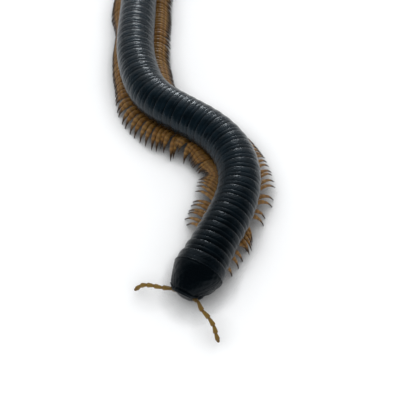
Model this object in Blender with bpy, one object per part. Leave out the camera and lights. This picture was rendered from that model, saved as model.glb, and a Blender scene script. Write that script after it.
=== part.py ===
"""Giant millipede, the whole animal standing on a level floor, as separate solids.

Metres, +Z up, floor at z = 0. The body runs along a plan path from the head, which looks
towards -Y, to the tail at +Y. A place on the animal is given by the distance along that path
from the front of the head, the distance across it (positive towards the animal's left) and
the height above the floor.
"""
import math
import random

import bmesh
import bpy
import numpy as np
from mathutils import Vector

# Driving dimensions, metres
BODY_DIAMETER = 0.012
RING_PITCH = 0.00292
COLLUM_REAR = 0.0074
AXIS_HEIGHT = 0.0083
TOUCH_GAP = 0.0003

# Rings behind the collum, and the last ring of each named length of the trunk
RING_COUNT = 60
TRUNK_ENDS = (4, 10, 18, 27, 35, 44, 53, 60)
SINGLE_PAIR_RINGS = 3
LEGLESS_TAIL_RINGS = 2

# Plan path: place and direction at the head's front, then bends (from, to, turn in degrees)
HEAD_AT = (0.00158, -0.07889)
HEAD_DIRECTION = 62.9
BENDS = (
    (0.0207, 0.0642, 83.3),
    (0.0676, 0.0868, -36.4),
    (0.0793, 0.1090, -19.6),
    (0.1250, 0.1850, -46.0),
)
PATH_STEP = 0.0001
PATH_LENGTH = 0.200

# Rings: a narrow groove in front and a raised crest, as shares of the pitch and the radius;
# the corners stand out a little, so that the flat sides keep the round body's volume
RING_SIDES = 16
CORNER_RADIUS = 1.01
GROOVE_SHARE = 0.15
CREST_END = 0.97
GROOVE_DEPTH = 0.07
HEAD_SWELL = 0.065
HEAD_SWELL_RINGS = 1.6
FRONT_RADIUS = 0.975
MIDDLE_RADIUS = 1.02
MIDDLE_FROM = 18.0
MIDDLE_RISE = 8.0
TAIL_RINGS = 9.0
TAIL_TAPER = 0.20

# Axis drop at both ends, in body diameters
FRONT_DROP = 0.04
FRONT_DROP_RINGS = 3.0
TAIL_DROP = 0.10

# Legs: across and height of each station, and the half width there, in body diameters
LEG_SIDES = 3
LEG_STATIONS = (
    (0.165, 0.310, 0.038),
    (0.225, 0.165, 0.038),
    (0.500, 0.290, 0.036),
    (0.760, 0.190, 0.030),
    (0.910, 0.000, 0.022),
)
LEG_PLACES = (0.33, 0.74)
# Reach, swing towards the head in degrees and height of the foot above the floor in body
# diameters, at some rings from the head to the tail: the wave that runs along the legs
REACH_KNOTS = {
    "left": (
        (0.8, 0.24), (1.8, 0.30), (2.8, 0.48), (3.8, 0.56), (5.2, 0.55), (5.8, 0.74), (8.2, 0.70),
        (9.0, 0.96), (10.0, 1.10), (12.2, 1.00), (52.0, 1.00), (58.0, 0.74),
    ),
    "right": (
        (1.0, 0.40), (4.0, 0.46), (5.2, 1.15), (7.2, 1.20), (8.2, 1.36), (9.0, 1.34), (11.2, 0.92),
        (14.0, 0.84), (15.0, 0.88), (17.0, 0.70), (17.8, 0.68), (18.2, 0.92), (18.8, 0.70),
        (19.2, 0.72), (19.8, 0.96), (20.2, 1.14), (21.2, 0.84), (22.0, 1.10), (24.0, 1.00),
        (29.0, 0.72), (36.0, 0.72), (41.0, 1.00), (52.0, 1.00), (58.0, 0.74),
    ),
}
SWING_KNOTS = {
    "left": (
        (0.8, -19), (1.8, -6), (2.8, 11), (3.8, 14), (4.2, 1), (4.8, -20), (5.2, -4), (5.8, 28),
        (6.2, 26), (7.2, 38), (7.8, -8), (9.0, -26), (10.0, -35), (12.2, -24), (14.0, -6), (16.0, 8),
        (19.0, 2), (27.0, -12), (33.0, 12), (36.5, -10), (42.0, 12), (45.5, -10), (51.0, 12),
        (54.5, -8), (59.0, 6),
    ),
    "right": (
        (1.0, 4), (4.2, 8), (5.0, -10), (7.0, -12), (8.2, -27), (9.2, -33), (11.2, -36), (12.2, -31),
        (14.0, -11), (15.2, -16), (16.8, -9), (17.6, -14), (18.2, 12), (18.8, -3), (19.2, 0),
        (19.8, 14), (20.2, 18), (21.2, 8), (22.0, 18), (24.0, 10), (28.0, -8), (33.0, 10),
        (36.5, -10), (42.0, 12), (45.5, -10), (51.0, 12), (54.5, -8), (59.0, 6),
    ),
}
LIFT_KNOTS = {
    "left": (
        (5.2, 0.00), (5.8, 0.10), (7.2, 0.10), (7.8, 0.00), (9.0, 0.00), (10.0, 0.10), (12.2, 0.10),
        (14.0, 0.00), (31.0, 0.00), (33.0, 0.08), (35.0, 0.00), (40.0, 0.00), (42.0, 0.08),
        (44.0, 0.00), (49.0, 0.00), (51.0, 0.08), (53.0, 0.00),
    ),
    "right": (
        (7.2, 0.00), (8.2, 0.10), (17.0, 0.10), (17.6, 0.20), (18.2, 0.08), (18.8, 0.20),
        (19.2, 0.20), (19.8, 0.08), (22.0, 0.08), (24.0, 0.00), (31.0, 0.00), (33.0, 0.08),
        (35.0, 0.00), (40.0, 0.00), (42.0, 0.08), (44.0, 0.00), (49.0, 0.00), (51.0, 0.08),
        (53.0, 0.00),
    ),
}
SWING_JITTER = 1.5
LIFT_POWER = 1.2

# Head, in body diameters, in a frame at the neck: forward, across (left positive), up
NECK_AT = 0.0042
HEAD_SHIFT = -0.03
COLLUM_LENGTH = 0.50
COLLUM_WALL = 0.06
COLLUM_SPAN = math.radians(122.0)
COLLUM_SPAN_LOSS = 0.26
COLLUM_ROWS = 7
COLLUM_COLUMNS = 15
COLLUM_SWEEP = 0.05

# Collum's outer face from rear to front: rear value, how much it loses, and the power of that
COLLUM_WIDTH = (0.530, 0.245, 1.2)
COLLUM_HEIGHT = (0.525, 0.200, 2.0)
COLLUM_CENTRE = (0.0, 0.140, 1.7)

# Head capsule from neck to mouth: forward, half width, top and bottom
HEAD_STATIONS = (
    (-0.240, 0.435, 0.438, -0.421),
    (-0.100, 0.362, 0.385, -0.440),
    (0.050, 0.272, 0.285, -0.450),
    (0.155, 0.198, 0.160, -0.440),
    (0.195, 0.222, 0.095, -0.430),
    (0.232, 0.222, 0.070, -0.400),
    (0.256, 0.165, 0.005, -0.330),
    (0.270, 0.085, -0.080, -0.250),
)
HEAD_SIDES = 20
HEAD_LOWER_POWER = 2.8

# Lumps on the head, and the notch in the upper lip: centre and radii
LUMP_SEGMENTS = (12, 7)
LIP_NOTCH = ((0.235, 0.0, -0.40), (0.06, 0.055, 0.10))
MANDIBLE = ((0.03, 0.235, -0.34), (0.16, 0.10, 0.11))
EYE = ((0.243, 0.130, 0.025), (0.030, 0.050, 0.042))
GNATHOCHILARIUM = ((0.00, 0.00, -0.45), (0.19, 0.17, 0.09))

# Antennae: routes of the two, and the half width at a joint, between joints and at the tip
ANTENNA_ROUTES = {
    "left": ((0.243, 0.18, -0.06), (0.252, 0.28, -0.06), (0.34, 0.41, -0.10), (0.41, 0.61, -0.18),
             (0.49, 0.76, -0.27), (0.58, 0.85, -0.35), (0.66, 0.95, -0.48)),
    "right": ((0.238, -0.17, -0.06), (0.248, -0.27, -0.06), (0.30, -0.51, -0.13), (0.33, -0.76, -0.23),
              (0.37, -0.92, -0.33), (0.48, -1.05, -0.49)),
}
ANTENNA_ARTICLES = 7
ANTENNA_SIDES = 6
ANTENNA_JOINT = 0.030
ANTENNA_SWELL = 0.041
ANTENNA_TIP = 0.025

# Tail end, in body diameters: preanal ring as share of its length and of its radius, the blunt
# point on it as behind, up and half width, valves and lower plate as depth, width and height
PREANAL_LENGTH = 0.24
PREANAL_STATIONS = ((0.0, 1.0), (0.35, 0.99), (0.75, 0.92), (1.0, 0.84))
EPIPROCT = ((0.05, 0.330, 0.085), (0.20, 0.355, 0.060), (0.36, 0.325, 0.020))
EPIPROCT_FLATNESS = 0.6
VALVE = (0.20, 0.24, 0.30)
VALVE_DROP = 0.02
VALVE_STATIONS = (0.0, 0.45, 0.8, 0.97)
VALVE_SIDES = 8
HYPOPROCT = (0.10, 0.13, 0.05)
HYPOPROCT_STATIONS = (0.0, 0.6, 1.0)
HYPOPROCT_TAPER = 0.6
HYPOPROCT_BEVEL = 0.7

# Finish of each part: colour, roughness and metallic
FINISHES = {
    "shell": ((0.012, 0.016, 0.020), 0.32, 0.0),
    "limb": ((0.270, 0.130, 0.025), 0.42, 0.0),
    "eye": ((0.004, 0.004, 0.005), 0.15, 0.0),
    "mouth": ((0.030, 0.018, 0.012), 0.45, 0.0),
}


def clear_scene():
    """Remove whatever the scene holds."""
    for obj in list(bpy.data.objects):
        bpy.data.objects.remove(obj, do_unlink=True)


def material(name):
    """Principled material of one of the named finishes."""
    colour, roughness, metallic = FINISHES[name]
    made = bpy.data.materials.get(name) or bpy.data.materials.new(name)
    made.use_nodes = True
    shader = made.node_tree.nodes["Principled BSDF"]
    shader.inputs["Base Color"].default_value = (*colour, 1.0)
    shader.inputs["Roughness"].default_value = roughness
    shader.inputs["Metallic"].default_value = metallic
    return made


def smooth_step(value):
    """Ease from 0 to 1."""
    t = np.clip(value, 0.0, 1.0)
    return t * t * (3.0 - 2.0 * t)


def plan_path():
    """Distance, x, y and direction along the plan path, summed from its bends."""
    distance = np.arange(0.0, PATH_LENGTH + PATH_STEP, PATH_STEP)
    direction = np.full(distance.shape, math.radians(HEAD_DIRECTION))
    for start, end, angle in BENDS:
        direction += math.radians(angle) * smooth_step((distance - start) / (end - start))
    x = HEAD_AT[0] + np.concatenate(([0.0], np.cumsum(np.cos(direction[1:]) * PATH_STEP)))
    y = HEAD_AT[1] + np.concatenate(([0.0], np.cumsum(np.sin(direction[1:]) * PATH_STEP)))
    return distance, x, y, direction


PATH = plan_path()


def place(distance, across, height):
    """World point at a distance along the body, across it and above the floor."""
    along, x, y, direction = PATH
    angle = np.interp(distance, along, direction)
    return Vector((
        float(np.interp(distance, along, x) + across * math.sin(angle)),
        float(np.interp(distance, along, y) - across * math.cos(angle)),
        float(height),
    ))


def place_swung(distance, root, across, height, swing, side):
    """World point on a leg plane that turns by swing about the leg's root, tips forward."""
    reach = across - root
    behind = distance - reach * math.sin(swing)
    return place_straight(distance, behind, side * (root + reach * math.cos(swing)), height)


def place_straight(base, distance, across, height):
    """World point in the straight frame of the body at base, so that legs keep their shape in bends."""
    along, x, y, direction = PATH
    angle = float(np.interp(base, along, direction))
    step = distance - base
    return Vector((
        float(np.interp(base, along, x)) + step * math.cos(angle) + across * math.sin(angle),
        float(np.interp(base, along, y)) + step * math.sin(angle) - across * math.cos(angle),
        float(height),
    ))


def ring_front(ring):
    """Distance along the body of a ring's front edge; ring 1 follows the collum."""
    return COLLUM_REAR + (ring - 1) * RING_PITCH


def ring_radius(ring):
    """Crest radius: a little more behind the head and in mid body, tapered at the tail."""
    head = HEAD_SWELL * math.exp(-(ring / HEAD_SWELL_RINGS) ** 2)
    middle = (MIDDLE_RADIUS - FRONT_RADIUS) * float(smooth_step((ring - MIDDLE_FROM) / MIDDLE_RISE))
    tail = TAIL_TAPER * tail_end(ring)
    return 0.5 * BODY_DIAMETER * (FRONT_RADIUS + head + middle - tail)


def tail_end(ring):
    """0 over most of the body, rising to 1 at the last ring."""
    return max(0.0, 1.0 - (RING_COUNT - ring) / TAIL_RINGS) ** 2


def axis_height(ring):
    """Height of the body's axis, a little lower towards both ends."""
    front = FRONT_DROP * math.exp(-(ring / FRONT_DROP_RINGS) ** 2)
    return AXIS_HEIGHT - (front + TAIL_DROP * tail_end(ring)) * BODY_DIAMETER


def new_object(name, mesh, finish):
    """Object of a mesh with one material, linked to the scene."""
    obj = bpy.data.objects.new(name, mesh)
    obj.data.materials.clear()
    obj.data.materials.append(material(finish))
    bpy.context.scene.collection.objects.link(obj)
    return obj


def mesh_from_loops(name, loops):
    """Closed tube through equal loops of points, each end filled with one face."""
    count = len(loops[0])
    points = [tuple(p) for loop in loops for p in loop]
    faces = []
    for row in range(len(loops) - 1):
        for col in range(count):
            a = row * count + col
            b = row * count + (col + 1) % count
            faces.append((a, b, b + count, a + count))
    faces.append(tuple(reversed(range(count))))
    faces.append(tuple(range((len(loops) - 1) * count, len(loops) * count)))
    mesh = bpy.data.meshes.new(name)
    mesh.from_pydata(points, [], faces)
    return outward(mesh)


def outward(mesh):
    """Turn all faces of a closed mesh out."""
    bm = bmesh.new()
    bm.from_mesh(mesh)
    bmesh.ops.recalc_face_normals(bm, faces=bm.faces)
    if bm.calc_volume(signed=True) < 0.0:
        bmesh.ops.reverse_faces(bm, faces=bm.faces)
    bm.to_mesh(mesh)
    bm.free()
    return mesh


def largest_surface(mesh):
    """Keep only the closed surface with the most points."""
    bm = bmesh.new()
    bm.from_mesh(mesh)
    bm.verts.ensure_lookup_table()
    left = set(bm.verts)
    islands = []
    while left:
        island = {left.pop()}
        front = list(island)
        while front:
            vert = front.pop()
            for edge in vert.link_edges:
                other = edge.other_vert(vert)
                if other in left:
                    left.discard(other)
                    island.add(other)
                    front.append(other)
        islands.append(island)
    islands.sort(key=len)
    for island in islands[:-1]:
        bmesh.ops.delete(bm, geom=list(island), context="VERTS")
    bm.to_mesh(mesh)
    bm.free()
    return mesh


def apply_boolean(obj, others, operation, solver="EXACT"):
    """Join or cut an object with others in one applied Boolean, and remove the others."""
    group = bpy.data.collections.new("operands")
    bpy.context.scene.collection.children.link(group)
    for other in others:
        for owner in list(other.users_collection):
            owner.objects.unlink(other)
        group.objects.link(other)
    step = obj.modifiers.new(operation.lower(), "BOOLEAN")
    step.operation = operation
    step.operand_type = "COLLECTION"
    step.collection = group
    step.solver = solver
    step.material_mode = "TRANSFER" if operation == "UNION" else "INDEX"
    bpy.context.view_layer.update()
    depsgraph = bpy.context.evaluated_depsgraph_get()
    mesh = bpy.data.meshes.new_from_object(obj.evaluated_get(depsgraph))
    obj.modifiers.clear()
    obj.data = largest_surface(mesh)
    for other in others:
        bpy.data.objects.remove(other, do_unlink=True)
    bpy.data.collections.remove(group)
    return obj


def ring_loop(distance, radius, height):
    """Round loop across the body."""
    angles = [2.0 * math.pi * (i + 0.5) / RING_SIDES for i in range(RING_SIDES)]
    corner = CORNER_RADIUS * radius
    return [place(distance, corner * math.sin(a), height + corner * math.cos(a)) for a in angles]


def ring_loops(ring):
    """Three loops of one ring: front of the groove, front and rear of the crest."""
    front = ring_front(ring)
    radius = ring_radius(ring)
    height = axis_height(ring)
    groove = radius * (1.0 - GROOVE_DEPTH)
    return [
        ring_loop(front, groove, height),
        ring_loop(front + GROOVE_SHARE * RING_PITCH, radius, height),
        ring_loop(front + CREST_END * RING_PITCH, radius, height),
    ]


def trunk_length(name, first, last):
    """Solid of the rings first to last, without legs."""
    loops = []
    for ring in range(first, last + 1):
        loops += ring_loops(ring)
    loops[-1] = ring_loop(ring_front(last + 1) - TOUCH_GAP, ring_radius(last), axis_height(last))
    return new_object(name, mesh_from_loops(name, loops), "shell")


def knot_value(knots, ring):
    """Value between the nearest two knots, eased, and level before the first and after the last."""
    if ring <= knots[0][0]:
        return knots[0][1]
    for (start, low), (end, high) in zip(knots, knots[1:]):
        if ring <= end:
            return low + (high - low) * float(smooth_step((ring - start) / (end - start)))
    return knots[-1][1]


def leg_pose(ring, pair, side, draw):
    """Swing, foot height and reach of one leg."""
    spot = ring + LEG_PLACES[pair] - 0.5
    degrees = knot_value(SWING_KNOTS[side], spot) + SWING_JITTER * draw.uniform(-1.0, 1.0)
    lift = BODY_DIAMETER * knot_value(LIFT_KNOTS[side], spot)
    return math.radians(degrees), lift, knot_value(REACH_KNOTS[side], spot)


def leg_stations(ring, lift, reach):
    """Across, height and half width at each station of a leg, in metres."""
    drop = AXIS_HEIGHT - axis_height(ring)
    root = LEG_STATIONS[1][0]
    tip = LEG_STATIONS[-1][0]
    stations = []
    for across, height, half in LEG_STATIONS:
        outer = max(0.0, across - root)
        rise = lift * (outer / (tip - root)) ** LIFT_POWER
        sink = drop * min(1.0, height / LEG_STATIONS[1][1])
        stations.append((
            (min(across, root) + outer * reach) * BODY_DIAMETER,
            height * BODY_DIAMETER - sink + rise,
            half * BODY_DIAMETER,
        ))
    return stations


def leg(ring, pair, side, draw):
    """One leg: a bent, tapering solid from inside the ring to a small flat foot."""
    swing, lift, reach = leg_pose(ring, pair, side, draw)
    sign = 1.0 if side == "left" else -1.0
    base = ring_front(ring) + LEG_PLACES[pair] * RING_PITCH
    root = LEG_STATIONS[1][0] * BODY_DIAMETER
    stations = leg_stations(ring, lift, reach)
    loops = []
    for index, (out, up, half) in enumerate(stations):
        before = stations[max(index - 1, 0)]
        after = stations[min(index + 1, len(stations) - 1)]
        run = Vector((after[0] - before[0], after[1] - before[1])).normalized()
        if after is stations[index]:
            run = Vector((0.0, -1.0))
        loop = []
        for corner in range(LEG_SIDES):
            angle = 2.0 * math.pi * corner / LEG_SIDES
            lean = half * math.cos(angle)
            along = half * math.sin(angle)
            loop.append(place_swung(base + along, root, out - lean * run.y, up + lean * run.x, swing, sign))
        loops.append(loop)
    return new_object("leg", mesh_from_loops("leg", loops), "limb")


def legs_of(first, last, draw):
    """All legs of the rings first to last."""
    made = []
    for ring in range(first, last + 1):
        if ring > RING_COUNT - LEGLESS_TAIL_RINGS:
            continue
        pairs = (0,) if ring <= SINGLE_PAIR_RINGS else (0, 1)
        for pair in pairs:
            for side in ("left", "right"):
                made.append(leg(ring, pair, side, draw))
    return made


def build_trunk():
    """Lengths of the trunk with their legs fused on."""
    draw = random.Random(7)
    first = 1
    for index, last in enumerate(TRUNK_ENDS):
        body = trunk_length("trunk_%d" % (index + 1), first, last)
        legs = legs_of(first, last, draw)
        if legs:
            apply_boolean(body, legs, "UNION")
        first = last + 1


def head_point(forward, across, up):
    """World point in the neck frame, in body diameters: forward, to the left, above the axis."""
    size = BODY_DIAMETER
    return place_straight(NECK_AT, NECK_AT - forward * size, (across + HEAD_SHIFT) * size,
                          axis_height(0) + up * size)


def falling(form, t):
    """Value that falls from the first number of a form by the second, with t to the third."""
    start, loss, power = form
    return start - loss * t ** power


def collum_point(t, side_way, inset):
    """Point of the collum: t from rear to front, side_way from -1 to 1 round the arch."""
    span = COLLUM_SPAN * (1.0 - COLLUM_SPAN_LOSS * t ** 2.5)
    angle = span * side_way
    rear = (NECK_AT - COLLUM_REAR + TOUCH_GAP) / BODY_DIAMETER
    forward = rear + COLLUM_LENGTH * t - COLLUM_SWEEP * t * math.sin(angle) ** 2
    across = (falling(COLLUM_WIDTH, t) - inset) * math.sin(angle)
    up = falling(COLLUM_CENTRE, t) + (falling(COLLUM_HEIGHT, t) - inset) * math.cos(angle)
    return head_point(forward, across, up)


def collum():
    """Shield behind the head: a thick arched shell with side lobes, open below."""
    rows = COLLUM_ROWS
    columns = COLLUM_COLUMNS
    outer = []
    inner = []
    for row in range(rows):
        t = row / (rows - 1)
        lip = 0.5 * COLLUM_WALL * t ** 6
        for col in range(columns):
            side_way = 2.0 * col / (columns - 1) - 1.0
            outer.append(collum_point(t, side_way, lip))
            inner.append(collum_point(t, side_way, COLLUM_WALL))
    faces = []
    shift = rows * columns
    for row in range(rows - 1):
        for col in range(columns - 1):
            corner = row * columns + col
            quad = (corner, corner + 1, corner + 1 + columns, corner + columns)
            faces.append(quad)
            faces.append(tuple(shift + v for v in reversed(quad)))
    rim = [(0, c) for c in range(columns - 1)] + [(r, columns - 1) for r in range(rows - 1)]
    rim += [(rows - 1, c) for c in range(columns - 1, 0, -1)] + [(r, 0) for r in range(rows - 1, 0, -1)]
    ids = [r * columns + c for r, c in rim]
    for here, there in zip(ids, ids[1:] + ids[:1]):
        faces.append((here, shift + here, shift + there, there))
    mesh = bpy.data.meshes.new("collum")
    mesh.from_pydata([tuple(p) for p in outer + inner], [], faces)
    return new_object("collum", outward(mesh), "shell")


def head_loop(forward, width, middle, half):
    """Loop round the head: elliptic above its middle, squarer below where the lip is broad."""
    loop = []
    for corner in range(HEAD_SIDES):
        angle = 2.0 * math.pi * (corner + 0.5) / HEAD_SIDES
        across = math.sin(angle)
        up = math.cos(angle)
        power = 2.0 / HEAD_LOWER_POWER if up < 0.0 else 1.0
        loop.append(head_point(forward, width * math.copysign(abs(across) ** power, across),
                               middle + half * math.copysign(abs(up) ** power, up)))
    return loop


def head(name, grow=0.0):
    """Head capsule with its neck, grown all round by a margin in body diameters."""
    loops = []
    last = len(HEAD_STATIONS) - 1
    for index, (forward, width, top, bottom) in enumerate(HEAD_STATIONS):
        ahead = forward + grow * ((index == last) - (index == 0))
        loops.append(head_loop(ahead, width + grow, 0.5 * (top + bottom), 0.5 * (top - bottom) + grow))
    return new_object(name, mesh_from_loops(name, loops), "shell")


def lump(name, form, side, finish, grow=0.0):
    """Ellipsoid on the head; side is 1 on the left and -1 on the right."""
    centre, radii = form
    bm = bmesh.new()
    bmesh.ops.create_uvsphere(bm, u_segments=LUMP_SEGMENTS[0], v_segments=LUMP_SEGMENTS[1], radius=1.0)
    for vert in bm.verts:
        vert.co = head_point(centre[0] + (radii[0] + grow) * vert.co.x,
                             side * centre[1] + (radii[1] + grow) * vert.co.y,
                             centre[2] + (radii[2] + grow) * vert.co.z)
    mesh = bpy.data.meshes.new(name)
    bm.to_mesh(mesh)
    bm.free()
    return new_object(name, outward(mesh), finish)


def smooth_route(points, count):
    """Points spaced evenly along a smooth curve through a few given points."""
    given = np.array(points)
    steps = np.concatenate(([0.0], np.cumsum(np.linalg.norm(np.diff(given, axis=0), axis=1))))
    spots = np.linspace(0.0, steps[-1], count)
    slopes = np.gradient(given, steps, axis=0)
    spans = np.clip(np.searchsorted(steps, spots, side="right") - 1, 0, len(steps) - 2)
    width = (steps[spans + 1] - steps[spans])[:, None]
    u = (spots - steps[spans])[:, None] / width
    return ((2 * u ** 3 - 3 * u ** 2 + 1) * given[spans] + (u ** 3 - 2 * u ** 2 + u) * width * slopes[spans]
            + (3 * u ** 2 - 2 * u ** 3) * given[spans + 1] + (u ** 3 - u ** 2) * width * slopes[spans + 1])


def antenna(side):
    """Feeler of seven articles, each wider at its far end, with a blunt tip."""
    spots = smooth_route([head_point(*p) for p in ANTENNA_ROUTES[side]], 2 * ANTENNA_ARTICLES + 1)
    loops = []
    last = len(spots) - 1
    for index, spot in enumerate(spots):
        run = Vector(spots[min(index + 1, last)] - spots[max(index - 1, 0)]).normalized()
        side_way = run.cross(Vector((0.0, 0.0, 1.0))).normalized()
        up_way = side_way.cross(run)
        half = ANTENNA_JOINT if index % 2 == 0 else ANTENNA_SWELL
        half = (ANTENNA_TIP if index == last else half) * BODY_DIAMETER
        angles = [2.0 * math.pi * (i + 0.5) / ANTENNA_SIDES for i in range(ANTENNA_SIDES)]
        loop = [half * (math.cos(a) * up_way + math.sin(a) * side_way) for a in angles]
        loops.append([Vector(spot) + offset for offset in loop])
    name = "antenna_" + side
    return new_object(name, mesh_from_loops(name, loops), "limb")


def build_head():
    """Head, collum, eyes, mouthparts and antennae, each cut clear of what it grows from."""
    gap = TOUCH_GAP / BODY_DIAMETER
    collum()
    apply_boolean(head("head"), [lump("cutter", LIP_NOTCH, 1.0, "shell")], "DIFFERENCE")
    for side, sign in (("left", 1.0), ("right", -1.0)):
        eye = lump("eye_" + side, EYE, sign, "eye")
        mandible = lump("mandible_" + side, MANDIBLE, sign, "shell")
        for piece in (eye, mandible, antenna(side)):
            apply_boolean(piece, [head("cutter", gap)], "DIFFERENCE")
    plate = lump("gnathochilarium", GNATHOCHILARIUM, 1.0, "mouth")
    cutters = [head("cutter", gap)] + [lump("cutter", MANDIBLE, sign, "shell", gap) for sign in (1.0, -1.0)]
    apply_boolean(plate, cutters, "DIFFERENCE")


def tail_point(behind, across, up):
    """World point behind the last ring, in body diameters."""
    end = ring_front(RING_COUNT + 1)
    return place_straight(end, end + behind * BODY_DIAMETER, across * BODY_DIAMETER,
                          axis_height(RING_COUNT) + up * BODY_DIAMETER)


def preanal_ring():
    """Last ring, with a blunt point above the valves fused on."""
    start = ring_radius(RING_COUNT) * (1.0 - GROOVE_DEPTH) / BODY_DIAMETER
    angles = [2.0 * math.pi * (i + 0.5) / RING_SIDES for i in range(RING_SIDES)]
    loops = []
    for t, share in PREANAL_STATIONS:
        radius = start * share
        behind = PREANAL_LENGTH * t
        loops.append([tail_point(behind, radius * math.sin(a), radius * math.cos(a)) for a in angles])
    ring = new_object("preanal_ring", mesh_from_loops("preanal_ring", loops), "shell")
    loops = []
    for behind, up, half in EPIPROCT:
        rise = EPIPROCT_FLATNESS * half
        loops.append([tail_point(behind, half * math.sin(a), up + rise * math.cos(a)) for a in angles[::2]])
    apply_boolean(ring, [new_object("epiproct", mesh_from_loops("epiproct", loops), "shell")], "UNION")


def anal_valve(side, sign):
    """One of the two bulging valves that close the tail, flat where they meet."""
    depth, width, height = VALVE
    gap = TOUCH_GAP / BODY_DIAMETER
    loops = []
    for t in VALVE_STATIONS:
        share = math.sqrt(1.0 - t ** 2)
        loop = []
        for i in range(VALVE_SIDES + 1):
            angle = math.pi * i / VALVE_SIDES
            across = 0.5 * gap + width * share * math.sin(angle)
            loop.append(tail_point(PREANAL_LENGTH + gap + depth * t, sign * across,
                                   height * share * math.cos(angle) - VALVE_DROP))
        loops.append(loop)
    return new_object("anal_valve_" + side, mesh_from_loops("anal_valve_" + side, loops), "shell")


def hypoproct():
    """Small plate under the valves."""
    depth, width, height = HYPOPROCT
    gap = TOUCH_GAP / BODY_DIAMETER
    loops = []
    top = -VALVE[2] - VALVE_DROP - gap
    for t in HYPOPROCT_STATIONS:
        half = width * (1.0 - HYPOPROCT_TAPER * t ** 2)
        low = HYPOPROCT_BEVEL * half
        row = [(-half, top), (half, top), (low, top - height), (-low, top - height)]
        loops.append([tail_point(PREANAL_LENGTH + gap + depth * t, across, up) for across, up in row])
    return new_object("hypoproct", mesh_from_loops("hypoproct", loops), "shell")


def build_tail():
    """Preanal ring, valves and the plate below them."""
    preanal_ring()
    anal_valve("left", 1.0)
    anal_valve("right", -1.0)
    hypoproct()


def main():
    """Build the animal."""
    clear_scene()
    build_trunk()
    build_head()
    build_tail()


main()
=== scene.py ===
"""Giant millipede: the looks of the whole animal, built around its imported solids.

Metres, +Z up, floor at z = 0. The body follows a plan path from the head, at -Y, to the tail. A
place on the animal is given by the distance along that path, the distance across it, positive
towards the animal's left, and the height above the floor. Sizes in body diameters say so.
"""
import logging
import math
import random
from dataclasses import dataclass, field
from enum import Enum
from functools import cached_property

import bpy
import numpy as np
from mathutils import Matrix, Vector


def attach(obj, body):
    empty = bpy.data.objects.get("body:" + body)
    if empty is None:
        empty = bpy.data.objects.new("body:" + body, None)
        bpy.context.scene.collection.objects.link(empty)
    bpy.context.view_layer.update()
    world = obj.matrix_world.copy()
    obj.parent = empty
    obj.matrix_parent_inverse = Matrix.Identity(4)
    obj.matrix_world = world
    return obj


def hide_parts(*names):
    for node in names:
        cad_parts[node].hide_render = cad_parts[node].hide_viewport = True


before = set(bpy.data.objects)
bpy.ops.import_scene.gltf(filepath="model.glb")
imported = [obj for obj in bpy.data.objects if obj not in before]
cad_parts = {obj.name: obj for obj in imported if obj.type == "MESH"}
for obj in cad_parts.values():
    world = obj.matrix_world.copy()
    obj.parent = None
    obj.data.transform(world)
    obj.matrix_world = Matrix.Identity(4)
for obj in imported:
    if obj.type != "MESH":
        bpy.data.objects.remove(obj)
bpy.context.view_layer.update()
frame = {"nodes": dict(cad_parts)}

Array = np.ndarray
Inputs = dict[str | int, object]
Pair = tuple[float, float]
Pairs = tuple[Pair, ...]
Triple = tuple[float, float, float]
Quad = tuple[float, float, float, float]
LOG = logging.getLogger("millipede")
TURN = 2.0 * math.pi
MM = 0.001
BODY = "root"
CHITIN_IOR = 1.56


class Slot(Enum):
    """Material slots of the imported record."""

    SHELL = "shell"
    LIMB = "limb"
    EYE = "eye"
    MOUTH = "mouth"


class Side(Enum):
    """Sides of the animal, with the sign of a distance across the body."""

    LEFT = 1.0
    RIGHT = -1.0

    @property
    def word(self) -> str:
        """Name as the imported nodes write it."""
        return self.name.lower()


# Numbers


def smooth_step(value: Array | float) -> Array:
    """Ease from 0 to 1: three times the square less twice the cube of the clipped value."""
    t = np.clip(value, 0.0, 1.0)
    return t * t * (3.0 - 2.0 * t)


def bump(value: Array | float, width: float) -> Array:
    """Bell that is 1 at 0 and falls off with the square of value over width."""
    return np.exp(-np.square(np.asarray(value) / width))


def window(value: Array, low: float, high: float, soft: float) -> Array:
    """1 between low and high, eased to 0 over soft on both sides."""
    return smooth_step((value - low) / soft + 0.5) * smooth_step((high - value) / soft + 0.5)


def eased_knots(knots: Pairs, spot: float) -> float:
    """Value between the nearest two knots, eased, and level beyond the first and the last.

    Args:
        knots: Pairs of place and value, in order of place.
        spot: Place that is asked for.

    Returns:
        The value at spot.
    """
    if spot <= knots[0][0]:
        return knots[0][1]
    for (start, low), (end, high) in zip(knots, knots[1:]):
        if spot <= end:
            return low + (high - low) * float(smooth_step((spot - start) / (end - start)))
    return knots[-1][1]


def hermite(knots: Array, values: Array, slopes: Array, spots: Array) -> Array:
    """Cubic through values at knots with given slopes: the usual four Hermite weights.

    Args:
        knots: Places in rising order, shape (k,).
        values: Values there, shape (k, n).
        slopes: Slopes there, shape (k, n).
        spots: Places asked for, shape (m,).

    Returns:
        Values at the spots, shape (m, n).
    """
    span = np.clip(np.searchsorted(knots, spots, side="right") - 1, 0, len(knots) - 2)
    width = (knots[span + 1] - knots[span])[:, None]
    u = (spots - knots[span])[:, None] / width
    start = ((2 * u ** 3 - 3 * u ** 2 + 1) * values[span]
             + (u ** 3 - 2 * u ** 2 + u) * width * slopes[span])
    end = ((3 * u ** 2 - 2 * u ** 3) * values[span + 1]
           + (u ** 3 - u ** 2) * width * slopes[span + 1])
    return start + end


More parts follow.
